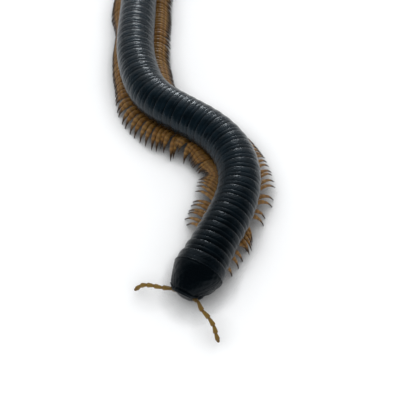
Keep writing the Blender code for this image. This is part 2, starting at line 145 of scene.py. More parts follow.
def monotone(knots: Array, values: Array, spots: Array) -> Array:
    """Smooth curve through values that never swings past them.

    The slope at a knot is the harmonic mean of the slopes on both sides, or 0 where they differ
    in sign.

    Args:
        knots: Places in rising order, shape (k,).
        values: Values there, shape (k, n).
        spots: Places asked for, shape (m,).

    Returns:
        Values at the spots, shape (m, n).
    """
    knots = np.asarray(knots, float)
    values = np.asarray(values, float)
    steps = np.diff(values, axis=0) / np.diff(knots)[:, None]
    before, after = steps[:-1], steps[1:]
    same = before * after > 0.0
    total = np.where(same, before + after, 1.0)
    inner = np.where(same, 2.0 * before * after / total, 0.0)
    slopes = np.concatenate((steps[:1], inner, steps[-1:]))
    return hermite(knots, values, slopes, np.asarray(spots, float))


def route(points: Array, spots: Array) -> Array:
    """Smooth curve through points, at shares of its length: Hermite with averaged slopes.

    Args:
        points: Points of the route, shape (k, n).
        spots: Shares of the length from 0 to 1, shape (m,).

    Returns:
        Points at the spots, shape (m, n).
    """
    steps = np.concatenate(([0.0], np.cumsum(np.linalg.norm(np.diff(points, axis=0), axis=1))))
    slopes = np.gradient(points, steps, axis=0)
    return hermite(steps, points, slopes, np.asarray(spots) * steps[-1])


@dataclass(frozen=True)
class Ripple:
    """Seeded unevenness: a sum of sine waves over an angle and a length, seamless in the angle.

    Args:
        seed: Seed of the random draws.
        waves: Number of waves.
        turns: Lowest and highest number of waves round the whole angle.
        lengths: Shortest and longest wavelength in the length, metres.
    """

    seed: int
    waves: int
    turns: tuple[int, int]
    lengths: Pair

    def at(self, angle: Array, length: Array) -> Array:
        """Height of the unevenness, about -1 to 1, at arrays of angle and length.

        Args:
            angle: Angles, radians.
            length: Lengths, metres.

        Returns:
            Heights, of the shape that both match to.
        """
        draw = np.random.default_rng(self.seed)
        total = np.zeros(np.broadcast(angle, length).shape)
        for _ in range(self.waves):
            turns = int(draw.integers(self.turns[0], self.turns[1] + 1))
            wave = TURN / draw.uniform(*self.lengths)
            sign = draw.choice((-1.0, 1.0))
            total += np.sin(turns * angle + sign * wave * length + draw.uniform(0.0, TURN))
        return total / math.sqrt(self.waves)


# Meshes


@dataclass
class Surfaces:
    """Closed surfaces, each a stack of closed loops with a fan of triangles on both ends.

    Args:
        loops: Points, shape (surfaces, loops, points of a loop, 3).
        numbers: Named values at every point, each of the shape of loops without its last axis.
        vectors: Named vectors at every point, each of the shape of loops.
    """

    loops: Array
    numbers: dict[str, Array] = field(default_factory=dict)
    vectors: dict[str, Array] = field(default_factory=dict)

    def _with_poles(self, values: Array) -> Array:
        """Values of each surface in one row, followed by the means of its first and last loop.

        Args:
            values: Values at every point of the loops.

        Returns:
            Values, shape (surfaces, points and 2, values of a point).
        """
        count, rows, around = self.loops.shape[:3]
        values = np.asarray(values, float).reshape(count, rows, around, -1)
        ends = np.stack((values[:, 0].mean(axis=1), values[:, -1].mean(axis=1)), axis=1)
        return np.concatenate((values.reshape(count, rows * around, -1), ends), axis=1)

    def _faces(self) -> tuple[Array, Array]:
        """Corner numbers of one surface's quads and of its end triangles.

        Returns:
            Quads, shape (q, 4), and triangles, shape (t, 3).
        """
        rows, around = self.loops.shape[1:3]
        here = np.arange(around)
        there = np.roll(here, -1)
        starts = (np.arange(rows - 1) * around)[:, None]
        quads = np.stack((starts + here, starts + there, starts + there + around,
                          starts + here + around), axis=-1).reshape(-1, 4)
        first = rows * around
        shift = (rows - 1) * around
        start_fan = np.stack((there, here, np.full(around, first)), axis=-1)
        end_fan = np.stack((shift + here, shift + there, np.full(around, first + 1)), axis=-1)
        return quads, np.concatenate((start_fan, end_fan))

    def make(self, name: str) -> bpy.types.Object:
        """Mesh object of all the surfaces, faces outwards, shaded smooth.

        A surface whose signed volume, the sum of its triangles' triple products, is negative has
        its faces turned round.

        Args:
            name: Name of the object.

        Returns:
            The object, linked to the scene.
        """
        points = self._with_poles(self.loops)
        quads, fans = self._faces()
        triangles = np.concatenate((quads[:, :3], quads[:, [0, 2, 3]], fans))
        centred = points - points.mean(axis=1, keepdims=True)
        a, b, c = (centred[:, triangles[:, k]] for k in range(3))
        inside_out = np.einsum("ijk,ijk->i", a, np.cross(b, c)) < 0.0
        shifts = (np.arange(len(points)) * points.shape[1])[:, None, None]
        faces = []
        for corners in (quads, fans):
            placed = corners[None] + shifts
            placed = np.where(inside_out[:, None, None], placed[:, :, ::-1], placed)
            faces += placed.reshape(-1, corners.shape[1]).tolist()
        mesh = bpy.data.meshes.new(name)
        mesh.from_pydata(points.reshape(-1, 3), [], faces)
        mesh.shade_smooth()
        for label, values in self.numbers.items():
            layer = mesh.attributes.new(label, "FLOAT", "POINT")
            layer.data.foreach_set("value", self._with_poles(values).ravel().astype(np.float32))
        for label, values in self.vectors.items():
            layer = mesh.attributes.new(label, "FLOAT_VECTOR", "POINT")
            layer.data.foreach_set("vector", self._with_poles(values).ravel().astype(np.float32))
        made = bpy.data.objects.new(name, mesh)
        bpy.context.scene.collection.objects.link(made)
        return made


def skin(name: str, world: Array, rest: Array, groove: Array | float,
         crinkle: Array | float) -> bpy.types.Object:
    """Piece of one closed surface with the values that the black finish reads.

    Args:
        name: Name of the piece.
        world: World points, shape (loops, points, 3).
        rest: The same points as if the body were straight, which its pattern follows.
        groove: How deep in a groove each point is, 0 to 1.
        crinkle: How wrinkled and glossy the cuticle is, 0 to 1.

    Returns:
        The piece.
    """
    numbers = {label: np.broadcast_to(values, world.shape[:2])[None]
               for label, values in (("groove", groove), ("crinkle", crinkle))}
    return Surfaces(world[None], numbers, {"rest": rest[None]}).make(name)


def signed_power(value: Array, power: Array | float) -> Array:
    """The size of the value to the power, with the value's sign."""
    return np.sign(value) * np.abs(value) ** power


def xyz(x: Array, y: Array, z: Array) -> Array:
    """Points with these three coordinates on their last axis, whose shapes are matched first."""
    return np.stack(np.broadcast_arrays(x, y, z), axis=-1)


def normals(grid: Array) -> Array:
    """Unit normals of a grid of closed loops: the cross product of its two central differences.

    Args:
        grid: Points, shape (loops, points, 3).

    Returns:
        Normals, of the same shape.
    """
    along = np.gradient(grid, axis=0)
    around = np.roll(grid, -1, axis=1) - np.roll(grid, 1, axis=1)
    cross = np.cross(around, along)
    return cross / np.maximum(np.linalg.norm(cross, axis=-1, keepdims=True), 1e-12)


def ellipsoid(rows: int, around: int) -> Array:
    """Loops of a unit sphere about its first axis, from -1 to 1 along it, without its poles.

    Args:
        rows: Number of loops.
        around: Points round a loop.

    Returns:
        Points, shape (rows, around, 3).
    """
    polar = math.pi * (np.arange(rows) + 0.5) / rows
    angle = TURN * np.arange(around) / around
    ring = np.sin(polar)[:, None]
    return xyz(-np.cos(polar)[:, None], ring * np.sin(angle), ring * np.cos(angle))


def tubes(centres: Array, halves: Array, around: int, level: bool = True) -> Array:
    """Round loops carried along routes, each square to the route.

    A loop's point is the centre plus half times the cosine of its angle along the upward
    direction across the route, plus half times the sine along the sideways one.

    Args:
        centres: Points along each route, shape (routes, points, 3).
        halves: Half width at each point, shape (points,) or (routes, points).
        around: Points round a loop.
        level: Whether the sideways direction is kept level.

    Returns:
        Points, shape (routes, points, around, 3).
    """
    run = np.gradient(centres, axis=1)
    run /= np.linalg.norm(run, axis=-1, keepdims=True)
    up = np.array((0.0, 0.0, 1.0))
    if level:
        across = np.cross(run, up)
    else:
        chord = centres[:, -1] - centres[:, 0]
        across = np.broadcast_to(np.cross(chord, up)[:, None], run.shape)
        across = across - run * np.sum(across * run, axis=-1, keepdims=True)
    across = across / np.linalg.norm(across, axis=-1, keepdims=True)
    upward = np.cross(across, run)
    angle = TURN * np.arange(around) / around
    half = np.broadcast_to(halves, centres.shape[:2])[..., None, None]
    ring = np.cos(angle)[:, None] * upward[:, :, None] + np.sin(angle)[:, None] * across[:, :, None]
    return centres[:, :, None] + half * ring


# Finishes


def linear(code: str) -> Quad:
    """Linear colour with full alpha of an sRGB hex code such as #20262a.

    Args:
        code: Hex code.

    Returns:
        Red, green, blue and alpha, 0 to 1.
    """
    shares = [int(code[i:i + 2], 16) / 255.0 for i in (1, 3, 5)]
    curve = [s / 12.92 if s <= 0.04045 else ((s + 0.055) / 1.055) ** 2.4 for s in shares]
    return curve[0], curve[1], curve[2], 1.0


def add(tree: bpy.types.NodeTree, kind: str, inputs: Inputs | None = None, stops: tuple = (),
        **settings: object) -> bpy.types.Node:
    """Add a node with its settings, its input values or links, and its ramp's stops.

    Args:
        tree: Node tree that gets the node.
        kind: Node type.
        inputs: Input name or number to a value, to the output socket that feeds it, or to a
            node whose first output feeds it.
        stops: Places and hex colours of a colour ramp.
        settings: Properties of the node.

    Returns:
        The new node.
    """
    node = tree.nodes.new(kind)
    for name, value in settings.items():
        setattr(node, name, value)
    for socket, value in (inputs or {}).items():
        if isinstance(value, bpy.types.Node):
            value = value.outputs[0]
        if isinstance(value, bpy.types.NodeSocket):
            tree.links.new(value, node.inputs[socket])
        else:
            node.inputs[socket].default_value = value
    for index, (place, code) in enumerate(stops):
        elements = node.color_ramp.elements
        stop = elements[index] if index < 2 else elements.new(place)
        stop.position = place
        stop.color = linear(code)
    return node


@dataclass(frozen=True)
class Finish:
    """A finish that is kept as one material and given to pieces.

    Args:
        title: Name of the material.
    """

    title: str

    def give(self, piece: bpy.types.Object) -> None:
        """Give a piece this finish, which is made the first time.

        Args:
            piece: The piece, whose other materials are dropped.
        """
        made = bpy.data.materials.get(self.title)
        if made is None:
            made = bpy.data.materials.new(self.title)
            made.use_nodes = True
            tree = made.node_tree
            tree.nodes.clear()
            shader = add(tree, "ShaderNodeBsdfPrincipled", self.paint(tree))
            add(tree, "ShaderNodeOutputMaterial", {"Surface": shader})
        piece.data.materials.clear()
        piece.data.materials.append(made)

    def paint(self, tree: bpy.types.NodeTree) -> Inputs:
        """Add the nodes of this finish and say what feeds each input of its shader."""
        raise NotImplementedError


@dataclass(frozen=True)
class BlackCuticle(Finish):
    """Sclerotised chitin of the rings, hardened and tanned black in life, with a waxy skin on it.

    It gives the eye a black ground with a cool grey bloom, soft gloss that breaks up over fine
    transverse wrinkles about 0.3 mm apart, and a near-black without bloom down in grooves and pits.

    Args:
        dark: Ground colour.
        bloom: Colour where the waxy skin is thicker.
        sheen: Tint of what it mirrors head on.
        joint: Colour down in the grooves, seams and pits, where the bloom is left out.
        cloud: Size of the waxy skin's patches, metres.
        grain: Size of the finest wrinkles, metres.
        wrinkle: Length of the coarser wrinkles, metres.
        squeeze: How much closer wrinkles lie along the body than across it.
        relief: Depth of the wrinkles, metres.
        rough: Roughness in and between the wrinkles, and what smooth cuticle has more.
        gloss: Specular level of smooth and of wrinkled cuticle.
    """

    title: str = "black_chitin_cuticle"
    dark: str = "#03080c"
    bloom: str = "#0b171e"
    sheen: str = "#dceefa"
    joint: str = "#050607"
    cloud: float = 2.6 * MM
    grain: float = 0.22 * MM
    wrinkle: float = 0.75 * MM
    squeeze: float = 2.4
    relief: float = 0.058 * MM
    rough: Triple = (0.09, 0.20, 0.16)
    gloss: Pair = (0.05, 0.187)

    def paint(self, tree: bpy.types.NodeTree) -> Inputs:
        """Bloom by broad noise, wrinkles by noise squeezed along the body, rough by both.

        Args:
            tree: Node tree of the material.

        Returns:
            What feeds each input of the shader.
        """
        rest = add(tree, "ShaderNodeAttribute", attribute_name="rest").outputs["Vector"]
        groove = add(tree, "ShaderNodeAttribute", attribute_name="groove").outputs["Fac"]
        crinkle = add(tree, "ShaderNodeAttribute", attribute_name="crinkle").outputs["Fac"]
        broad = add(tree, "ShaderNodeTexNoise", {
            "Vector": rest, "Scale": 1.0 / self.cloud, "Detail": 3.0, "Roughness": 0.55})
        squeezed = add(tree, "ShaderNodeMapping", {
            "Vector": rest, "Scale": (1.0, self.squeeze, 1.0)})
        coarse = add(tree, "ShaderNodeTexNoise", {
            "Vector": squeezed, "Scale": 1.0 / self.wrinkle, "Detail": 2.0, "Roughness": 0.6,
            "Distortion": 0.6})
        fine = add(tree, "ShaderNodeTexNoise", {
            "Vector": squeezed, "Scale": 1.0 / self.grain, "Detail": 2.0, "Roughness": 0.6})
        waxy = add(tree, "ShaderNodeMath", {0: broad, 1: crinkle}, operation="MULTIPLY")
        tone = add(tree, "ShaderNodeValToRGB", {"Fac": waxy},
                   ((0.20, self.dark), (0.62, self.bloom)))
        colour = add(tree, "ShaderNodeMix", {0: groove, 6: tone, 7: linear(self.joint)},
                     data_type="RGBA")
        broken = add(tree, "ShaderNodeMapRange", {
            "Value": coarse, "From Min": 0.3, "From Max": 0.7, "To Min": self.rough[0],
            "To Max": self.rough[1]})
        matt = add(tree, "ShaderNodeMapRange", {
            "Value": crinkle, "To Min": self.rough[2], "To Max": 0.0})
        rough = add(tree, "ShaderNodeMath", {0: broken, 1: matt}, operation="ADD")
        gloss = add(tree, "ShaderNodeMapRange", {
            "Value": crinkle, "To Min": self.gloss[0], "To Max": self.gloss[1]})
        height = add(tree, "ShaderNodeMath", {0: fine, 1: 0.5, 2: coarse}, operation="MULTIPLY_ADD")
        lift = add(tree, "ShaderNodeBump", {
            "Height": height, "Strength": crinkle, "Distance": self.relief})
        return {"Base Color": colour.outputs[2], "Roughness": rough, "Specular IOR Level": gloss,
                "Specular Tint": linear(self.sheen), "IOR": CHITIN_IOR, "Normal": lift}


@dataclass(frozen=True)
class AmberCuticle(Finish):
    """Thin tanned chitin of legs and feelers, which lets some light through.

    It gives the eye amber and ochre stretches with a satin gloss, a browner band at each joint,
    and ends that darken to nearly black at the claws. On the legs the darker brown towards the
    root is painted shade under the body.

    Args:
        root: Colour at the root; on the legs this darker brown is painted shade under the body.
        middle: Colour over most of the length.
        pale: Colour of the paler limbs.
        joint: Colour of the bands at the joints.
        tip: Colour at the tip.
        tip_from: Share of the length where the tip's colour begins.
        tip_fade: Share of the length over which it comes in.
        blotch: Size of the mottling, metres.
        grain: Size of the finest unevenness, metres.
    """

    title: str = "amber_chitin_leg"
    # On the legs this darker root colour is painted shade under the body.
    root: str = "#68441e"
    middle: str = "#845b26"
    pale: str = "#9e7c44"
    joint: str = "#50361a"
    tip: str = "#1d140d"
    tip_from: float = 0.74
    tip_fade: float = 0.14
    blotch: float = 0.8 * MM
    grain: float = 0.12 * MM

    def paint(self, tree: bpy.types.NodeTree) -> Inputs:
        """Colour along the limb by a ramp, mottled by noise, banded by the joint value.

        Args:
            tree: Node tree of the material.

        Returns:
            What feeds each input of the shader.
        """
        along = add(tree, "ShaderNodeAttribute", attribute_name="along").outputs["Fac"]
        tone = add(tree, "ShaderNodeAttribute", attribute_name="tone").outputs["Fac"]
        knee = add(tree, "ShaderNodeAttribute", attribute_name="knee").outputs["Fac"]
        place = add(tree, "ShaderNodeTexCoord").outputs["Object"]
        mottle = add(tree, "ShaderNodeTexNoise", {
            "Vector": place, "Scale": 1.0 / self.blotch, "Detail": 3.0, "Roughness": 0.6})
        grain = add(tree, "ShaderNodeTexNoise", {
            "Vector": place, "Scale": 1.0 / self.grain, "Detail": 1.0})
        dark_from = self.tip_from + self.tip_fade
        # Ramp along the limb; on the legs its darker root is painted shade under the body.
        main = add(tree, "ShaderNodeValToRGB", {"Fac": along}, (
            (0.0, self.root), (1.0, self.tip), (0.30, self.middle), (self.tip_from, self.middle),
            (dark_from, self.tip)))
        share = add(tree, "ShaderNodeMath", {0: mottle, 1: tone}, operation="MULTIPLY",
                    use_clamp=True)
        bright = add(tree, "ShaderNodeMix", {0: share, 6: main, 7: linear(self.pale)},
                     data_type="RGBA")
        dark_end = add(tree, "ShaderNodeMapRange", {
            "Value": along, "From Min": self.tip_from, "From Max": dark_from})
        tipped = add(tree, "ShaderNodeMix", {
            0: dark_end, 6: bright.outputs[2], 7: linear(self.tip)}, data_type="RGBA")
        banded = add(tree, "ShaderNodeMix", {
            0: knee, 6: tipped.outputs[2], 7: linear(self.joint)}, data_type="RGBA")
        rough = add(tree, "ShaderNodeMapRange", {"Value": mottle, "To Min": 0.34, "To Max": 0.52})
        lift = add(tree, "ShaderNodeBump", {
            "Height": grain, "Strength": 0.6, "Distance": 0.1 * self.grain})
        return {"Base Color": banded.outputs[2], "Roughness": rough, "Specular IOR Level": 0.30,
                "IOR": CHITIN_IOR, "Normal": lift, "Subsurface Weight": 0.12,
                "Subsurface Radius": (0.6 * MM, 0.35 * MM, 0.15 * MM), "Subsurface Scale": 1.0}


@dataclass(frozen=True)
class LensCuticle(Finish):
    """Clear cuticle lenses of the eye field over dark pigment: small wet-looking black beads.

    Args:
        lens: Colour of the lenses.
        between: Colour of the cuticle between them.
        grain: Size of that cuticle's grain, metres.
    """

    title: str = "clear_chitin_lens"
    lens: str = "#07090a"
    between: str = "#1c1813"
    grain: float = 0.10 * MM

    def paint(self, tree: bpy.types.NodeTree) -> Inputs:
        """Colour and gloss by whether a point is on a lens.

        Args:
            tree: Node tree of the material.

        Returns:
            What feeds each input of the shader.
        """
        bead = add(tree, "ShaderNodeAttribute", attribute_name="bead").outputs["Fac"]
        place = add(tree, "ShaderNodeTexCoord").outputs["Object"]
        grain = add(tree, "ShaderNodeTexNoise", {
            "Vector": place, "Scale": 1.0 / self.grain, "Detail": 2.0})
        colour = add(tree, "ShaderNodeMix", {
            0: bead, 6: linear(self.between), 7: linear(self.lens)}, data_type="RGBA")
        speckle = add(tree, "ShaderNodeMapRange", {"Value": grain, "To Min": 0.35, "To Max": 0.55})
        rough = add(tree, "ShaderNodeMix", {0: bead, 2: speckle, 3: 0.10}, data_type="FLOAT")
        return {"Base Color": colour.outputs[2], "Roughness": rough, "IOR": 1.50}


@dataclass(frozen=True)
class BrownCuticle(Finish):
    """Thinner brown chitin of the mouthparts, satin, with pale seams in its grooves.

    Args:
        ground: Ground colour.
        warm: Colour of its warmer patches.
        seam: Colour in the seams.
        patch: Size of the patches, metres.
        grain: Size of the grain, metres.
    """

    title: str = "brown_chitin_mouthpart"
    ground: str = "#2a1c12"
    warm: str = "#4a3018"
    seam: str = "#7a5a34"
    patch: float = 1.1 * MM
    grain: float = 0.15 * MM

    def paint(self, tree: bpy.types.NodeTree) -> Inputs:
        """Patches by noise, seams by the groove value, fine grain in the relief.

        Args:
            tree: Node tree of the material.

        Returns:
            What feeds each input of the shader.
        """
        groove = add(tree, "ShaderNodeAttribute", attribute_name="groove").outputs["Fac"]
        place = add(tree, "ShaderNodeTexCoord").outputs["Object"]
        patch = add(tree, "ShaderNodeTexNoise", {
            "Vector": place, "Scale": 1.0 / self.patch, "Detail": 3.0})
        grain = add(tree, "ShaderNodeTexNoise", {
            "Vector": place, "Scale": 1.0 / self.grain, "Detail": 2.0})
        tone = add(tree, "ShaderNodeValToRGB", {"Fac": patch},
                   ((0.35, self.ground), (0.68, self.warm)))
        colour = add(tree, "ShaderNodeMix", {0: groove, 6: tone, 7: linear(self.seam)},
                     data_type="RGBA")
        rough = add(tree, "ShaderNodeMapRange", {"Value": patch, "To Min": 0.36, "To Max": 0.55})
        lift = add(tree, "ShaderNodeBump", {
            "Height": grain, "Strength": 0.7, "Distance": 0.1 * self.grain})
        return {"Base Color": colour.outputs[2], "Roughness": rough, "IOR": CHITIN_IOR,
                "Normal": lift}


@dataclass(frozen=True)
class PaleFloor(Finish):
    """Opal acrylic of a light table, matt and softly lit from below, with a trace of unevenness.

    It gives the eye a white ground that darkens close round where something stands on it, by
    the dome's real shadow and a painted shadow in its colour and glow.

    Args:
        white: Main colour.
        shade: Colour of its faint clouds.
        cloud: Size of the clouds, metres.
        glow: Strength of the light that it passes.
        reach: How far the painted shadow reaches, metres.
        depth: Power that deepens the painted shadow.
    """

    title: str = "opal_acrylic_light_table"
    white: str = "#f8f8f8"
    shade: str = "#f4f4f4"
    cloud: float = 60.0 * MM
    glow: float = 0.28
    reach: float = 6.8 * MM
    depth: float = 2.0

    def paint(self, tree: bpy.types.NodeTree) -> Inputs:
        """Two near whites mixed by broad noise, dimmed by a power of the sky's open share: painted
        shadow.

        Args:
            tree: Node tree of the material.

        Returns:
            What feeds each input of the shader.
        """
        place = add(tree, "ShaderNodeTexCoord").outputs["Object"]
        cloud = add(tree, "ShaderNodeTexNoise", {
            "Vector": place, "Scale": 1.0 / self.cloud, "Detail": 2.0})
        tone = add(tree, "ShaderNodeValToRGB", {"Fac": cloud},
                   ((0.3, self.shade), (0.7, self.white)))
        # Painted shadow: colour and glow darken with a power of the ambient occlusion within the
        # reach.
        sky = add(tree, "ShaderNodeAmbientOcclusion", {"Distance": self.reach}, samples=8)
        painted_shadow = add(tree, "ShaderNodeMath", {0: sky.outputs["AO"], 1: self.depth}, operation="POWER")
        dimmed = add(tree, "ShaderNodeMix", {0: painted_shadow, 6: linear("#000000"), 7: tone},
                     data_type="RGBA")
        glow = add(tree, "ShaderNodeMath", {0: painted_shadow, 1: self.glow}, operation="MULTIPLY")
        return {"Base Color": dimmed.outputs[2], "Roughness": 0.85, "Specular IOR Level": 0.1,
                "Emission Color": linear("#ffffff"), "Emission Strength": glow}


BLACK = BlackCuticle()
AMBER = AmberCuticle()
FEELER = AmberCuticle(title="ochre_chitin_feeler", root="#2c1d10", middle="#775b1c", pale="#8a6c2a",
                      joint="#583514", tip="#644a1e", tip_from=0.86)
LENS = LensCuticle()
BROWN = BrownCuticle()
FLOOR = PaleFloor()


def dress(piece: bpy.types.Object, finish: Finish, slot: Slot, *nodes: str) -> None:
    """Give a piece its finish, let it ride on the animal, and say which solids it stands for.

    Args:
        piece: The piece.
        finish: Its finish.
        slot: Its material slot in the record.
        nodes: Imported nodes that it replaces.
    """
    finish.give(piece)
    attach(piece, BODY)
    if nodes:
        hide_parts(*nodes)
    LOG.info("%s: %d points, slot %s, for %s", piece.name, len(piece.data.vertices), slot.value,
             ", ".join(nodes) or "no node of its own")


# Body plan


@dataclass(frozen=True)
class BodyPlan:
    """Course, thickness and height of the body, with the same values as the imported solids.

    Args:
        diameter: Body diameter, metres.
        pitch: Length of a ring, metres.
        collum_rear: Distance along the body of the collum's rear edge, metres.
        axis: Height of the body's axis, metres.
        rings: Rings behind the collum.
        tail_rings: Rings over which the tail tapers.
        ends: Last ring of each length of the trunk.
        head_at: Plan place of the path's start, metres.
        heading: Direction of the path there, degrees.
        bends: Start, end and turn in degrees of each bend.
        length: Length of the path, metres.
        step: Step along the path, metres.
    """

    diameter: float = 12.0 * MM
    pitch: float = 2.92 * MM
    collum_rear: float = 7.4 * MM
    axis: float = 8.3 * MM
    rings: int = 60
    tail_rings: float = 9.0
    ends: tuple[int, ...] = (4, 10, 18, 27, 35, 44, 53, 60)
    head_at: Pair = (1.58 * MM, -78.89 * MM)
    heading: float = 62.9
    bends: tuple[Triple, ...] = (
        (0.0207, 0.0642, 83.3), (0.0676, 0.0868, -36.4), (0.0793, 0.1090, -19.6),
        (0.1250, 0.1850, -46.0))
    length: float = 200.0 * MM
    step: float = 0.1 * MM

    @cached_property
    def path(self) -> tuple[Array, Array, Array, Array]:
        """Distance, x, y and direction along the path: the bends' eased turns, summed.

        Returns:
            Four arrays, one value for each step.
        """
        distance = np.arange(0.0, self.length + self.step, self.step)
        direction = np.full(distance.shape, math.radians(self.heading))
        for start, end, turn in self.bends:
            direction += math.radians(turn) * smooth_step((distance - start) / (end - start))
        x = self.head_at[0] + np.concatenate(([0.0], np.cumsum(np.cos(direction[1:]) * self.step)))
        y = self.head_at[1] + np.concatenate(([0.0], np.cumsum(np.sin(direction[1:]) * self.step)))
        return distance, x, y, direction

    def place(self, distance: Array, across: Array, height: Array) -> Array:
        """World points at distances along the curved body, across it and above the floor."""
        return self.straight(distance, distance, across, height)

    def straight(self, base: Array | float, distance: Array, across: Array, height: Array) -> Array:
        """World points in the straight frame of the body at base.

        The point at base on the path, plus the rest of the distance along the direction there,
        plus across along the direction turned right by 90 degrees.

        Args:
            base: Distance along the path of the frame's place, metres.
            distance: Distances along the body, metres.
            across: Distances across it, metres.
            height: Heights above the floor, metres.

        Returns:
            World points, with a last axis of 3.
        """
        along, x, y, direction = self.path
        angle = np.interp(base, along, direction)
        step = distance - base
        east = np.interp(base, along, x) + step * np.cos(angle) + across * np.sin(angle)
        north = np.interp(base, along, y) + step * np.sin(angle) - across * np.cos(angle)
        return xyz(east, north, height)

    def front(self, ring: Array | float) -> Array:
        """Distance of a ring's front edge."""
        return self.collum_rear + (np.asarray(ring, float) - 1.0) * self.pitch

    def tail_end(self, ring: Array | float) -> Array:
        """0 over most of the body, rising to 1 at the last ring with the square."""
        behind = (self.rings - np.asarray(ring, float)) / self.tail_rings
        return np.square(np.maximum(0.0, 1.0 - behind))

    def radius(self, ring: Array | float) -> Array:
        """Crest radius: fuller behind the head and in mid body, tapered at the tail.

        Args:
            ring: Number of the ring, from 1 at the front.

        Returns:
            Radius in metres.
        """
        ring = np.asarray(ring, float)
        head = 0.065 * bump(ring, 1.6)
        middle = 0.045 * smooth_step((ring - 18.0) / 8.0)
        return 0.5 * self.diameter * (0.975 + head + middle - 0.20 * self.tail_end(ring))

    def height(self, ring: Array | float) -> Array:
        """Height of the axis, lower at both ends."""
        ring = np.asarray(ring, float)
        return self.axis - (0.04 * bump(ring, 3.0) + 0.10 * self.tail_end(ring)) * self.diameter


# Trunk


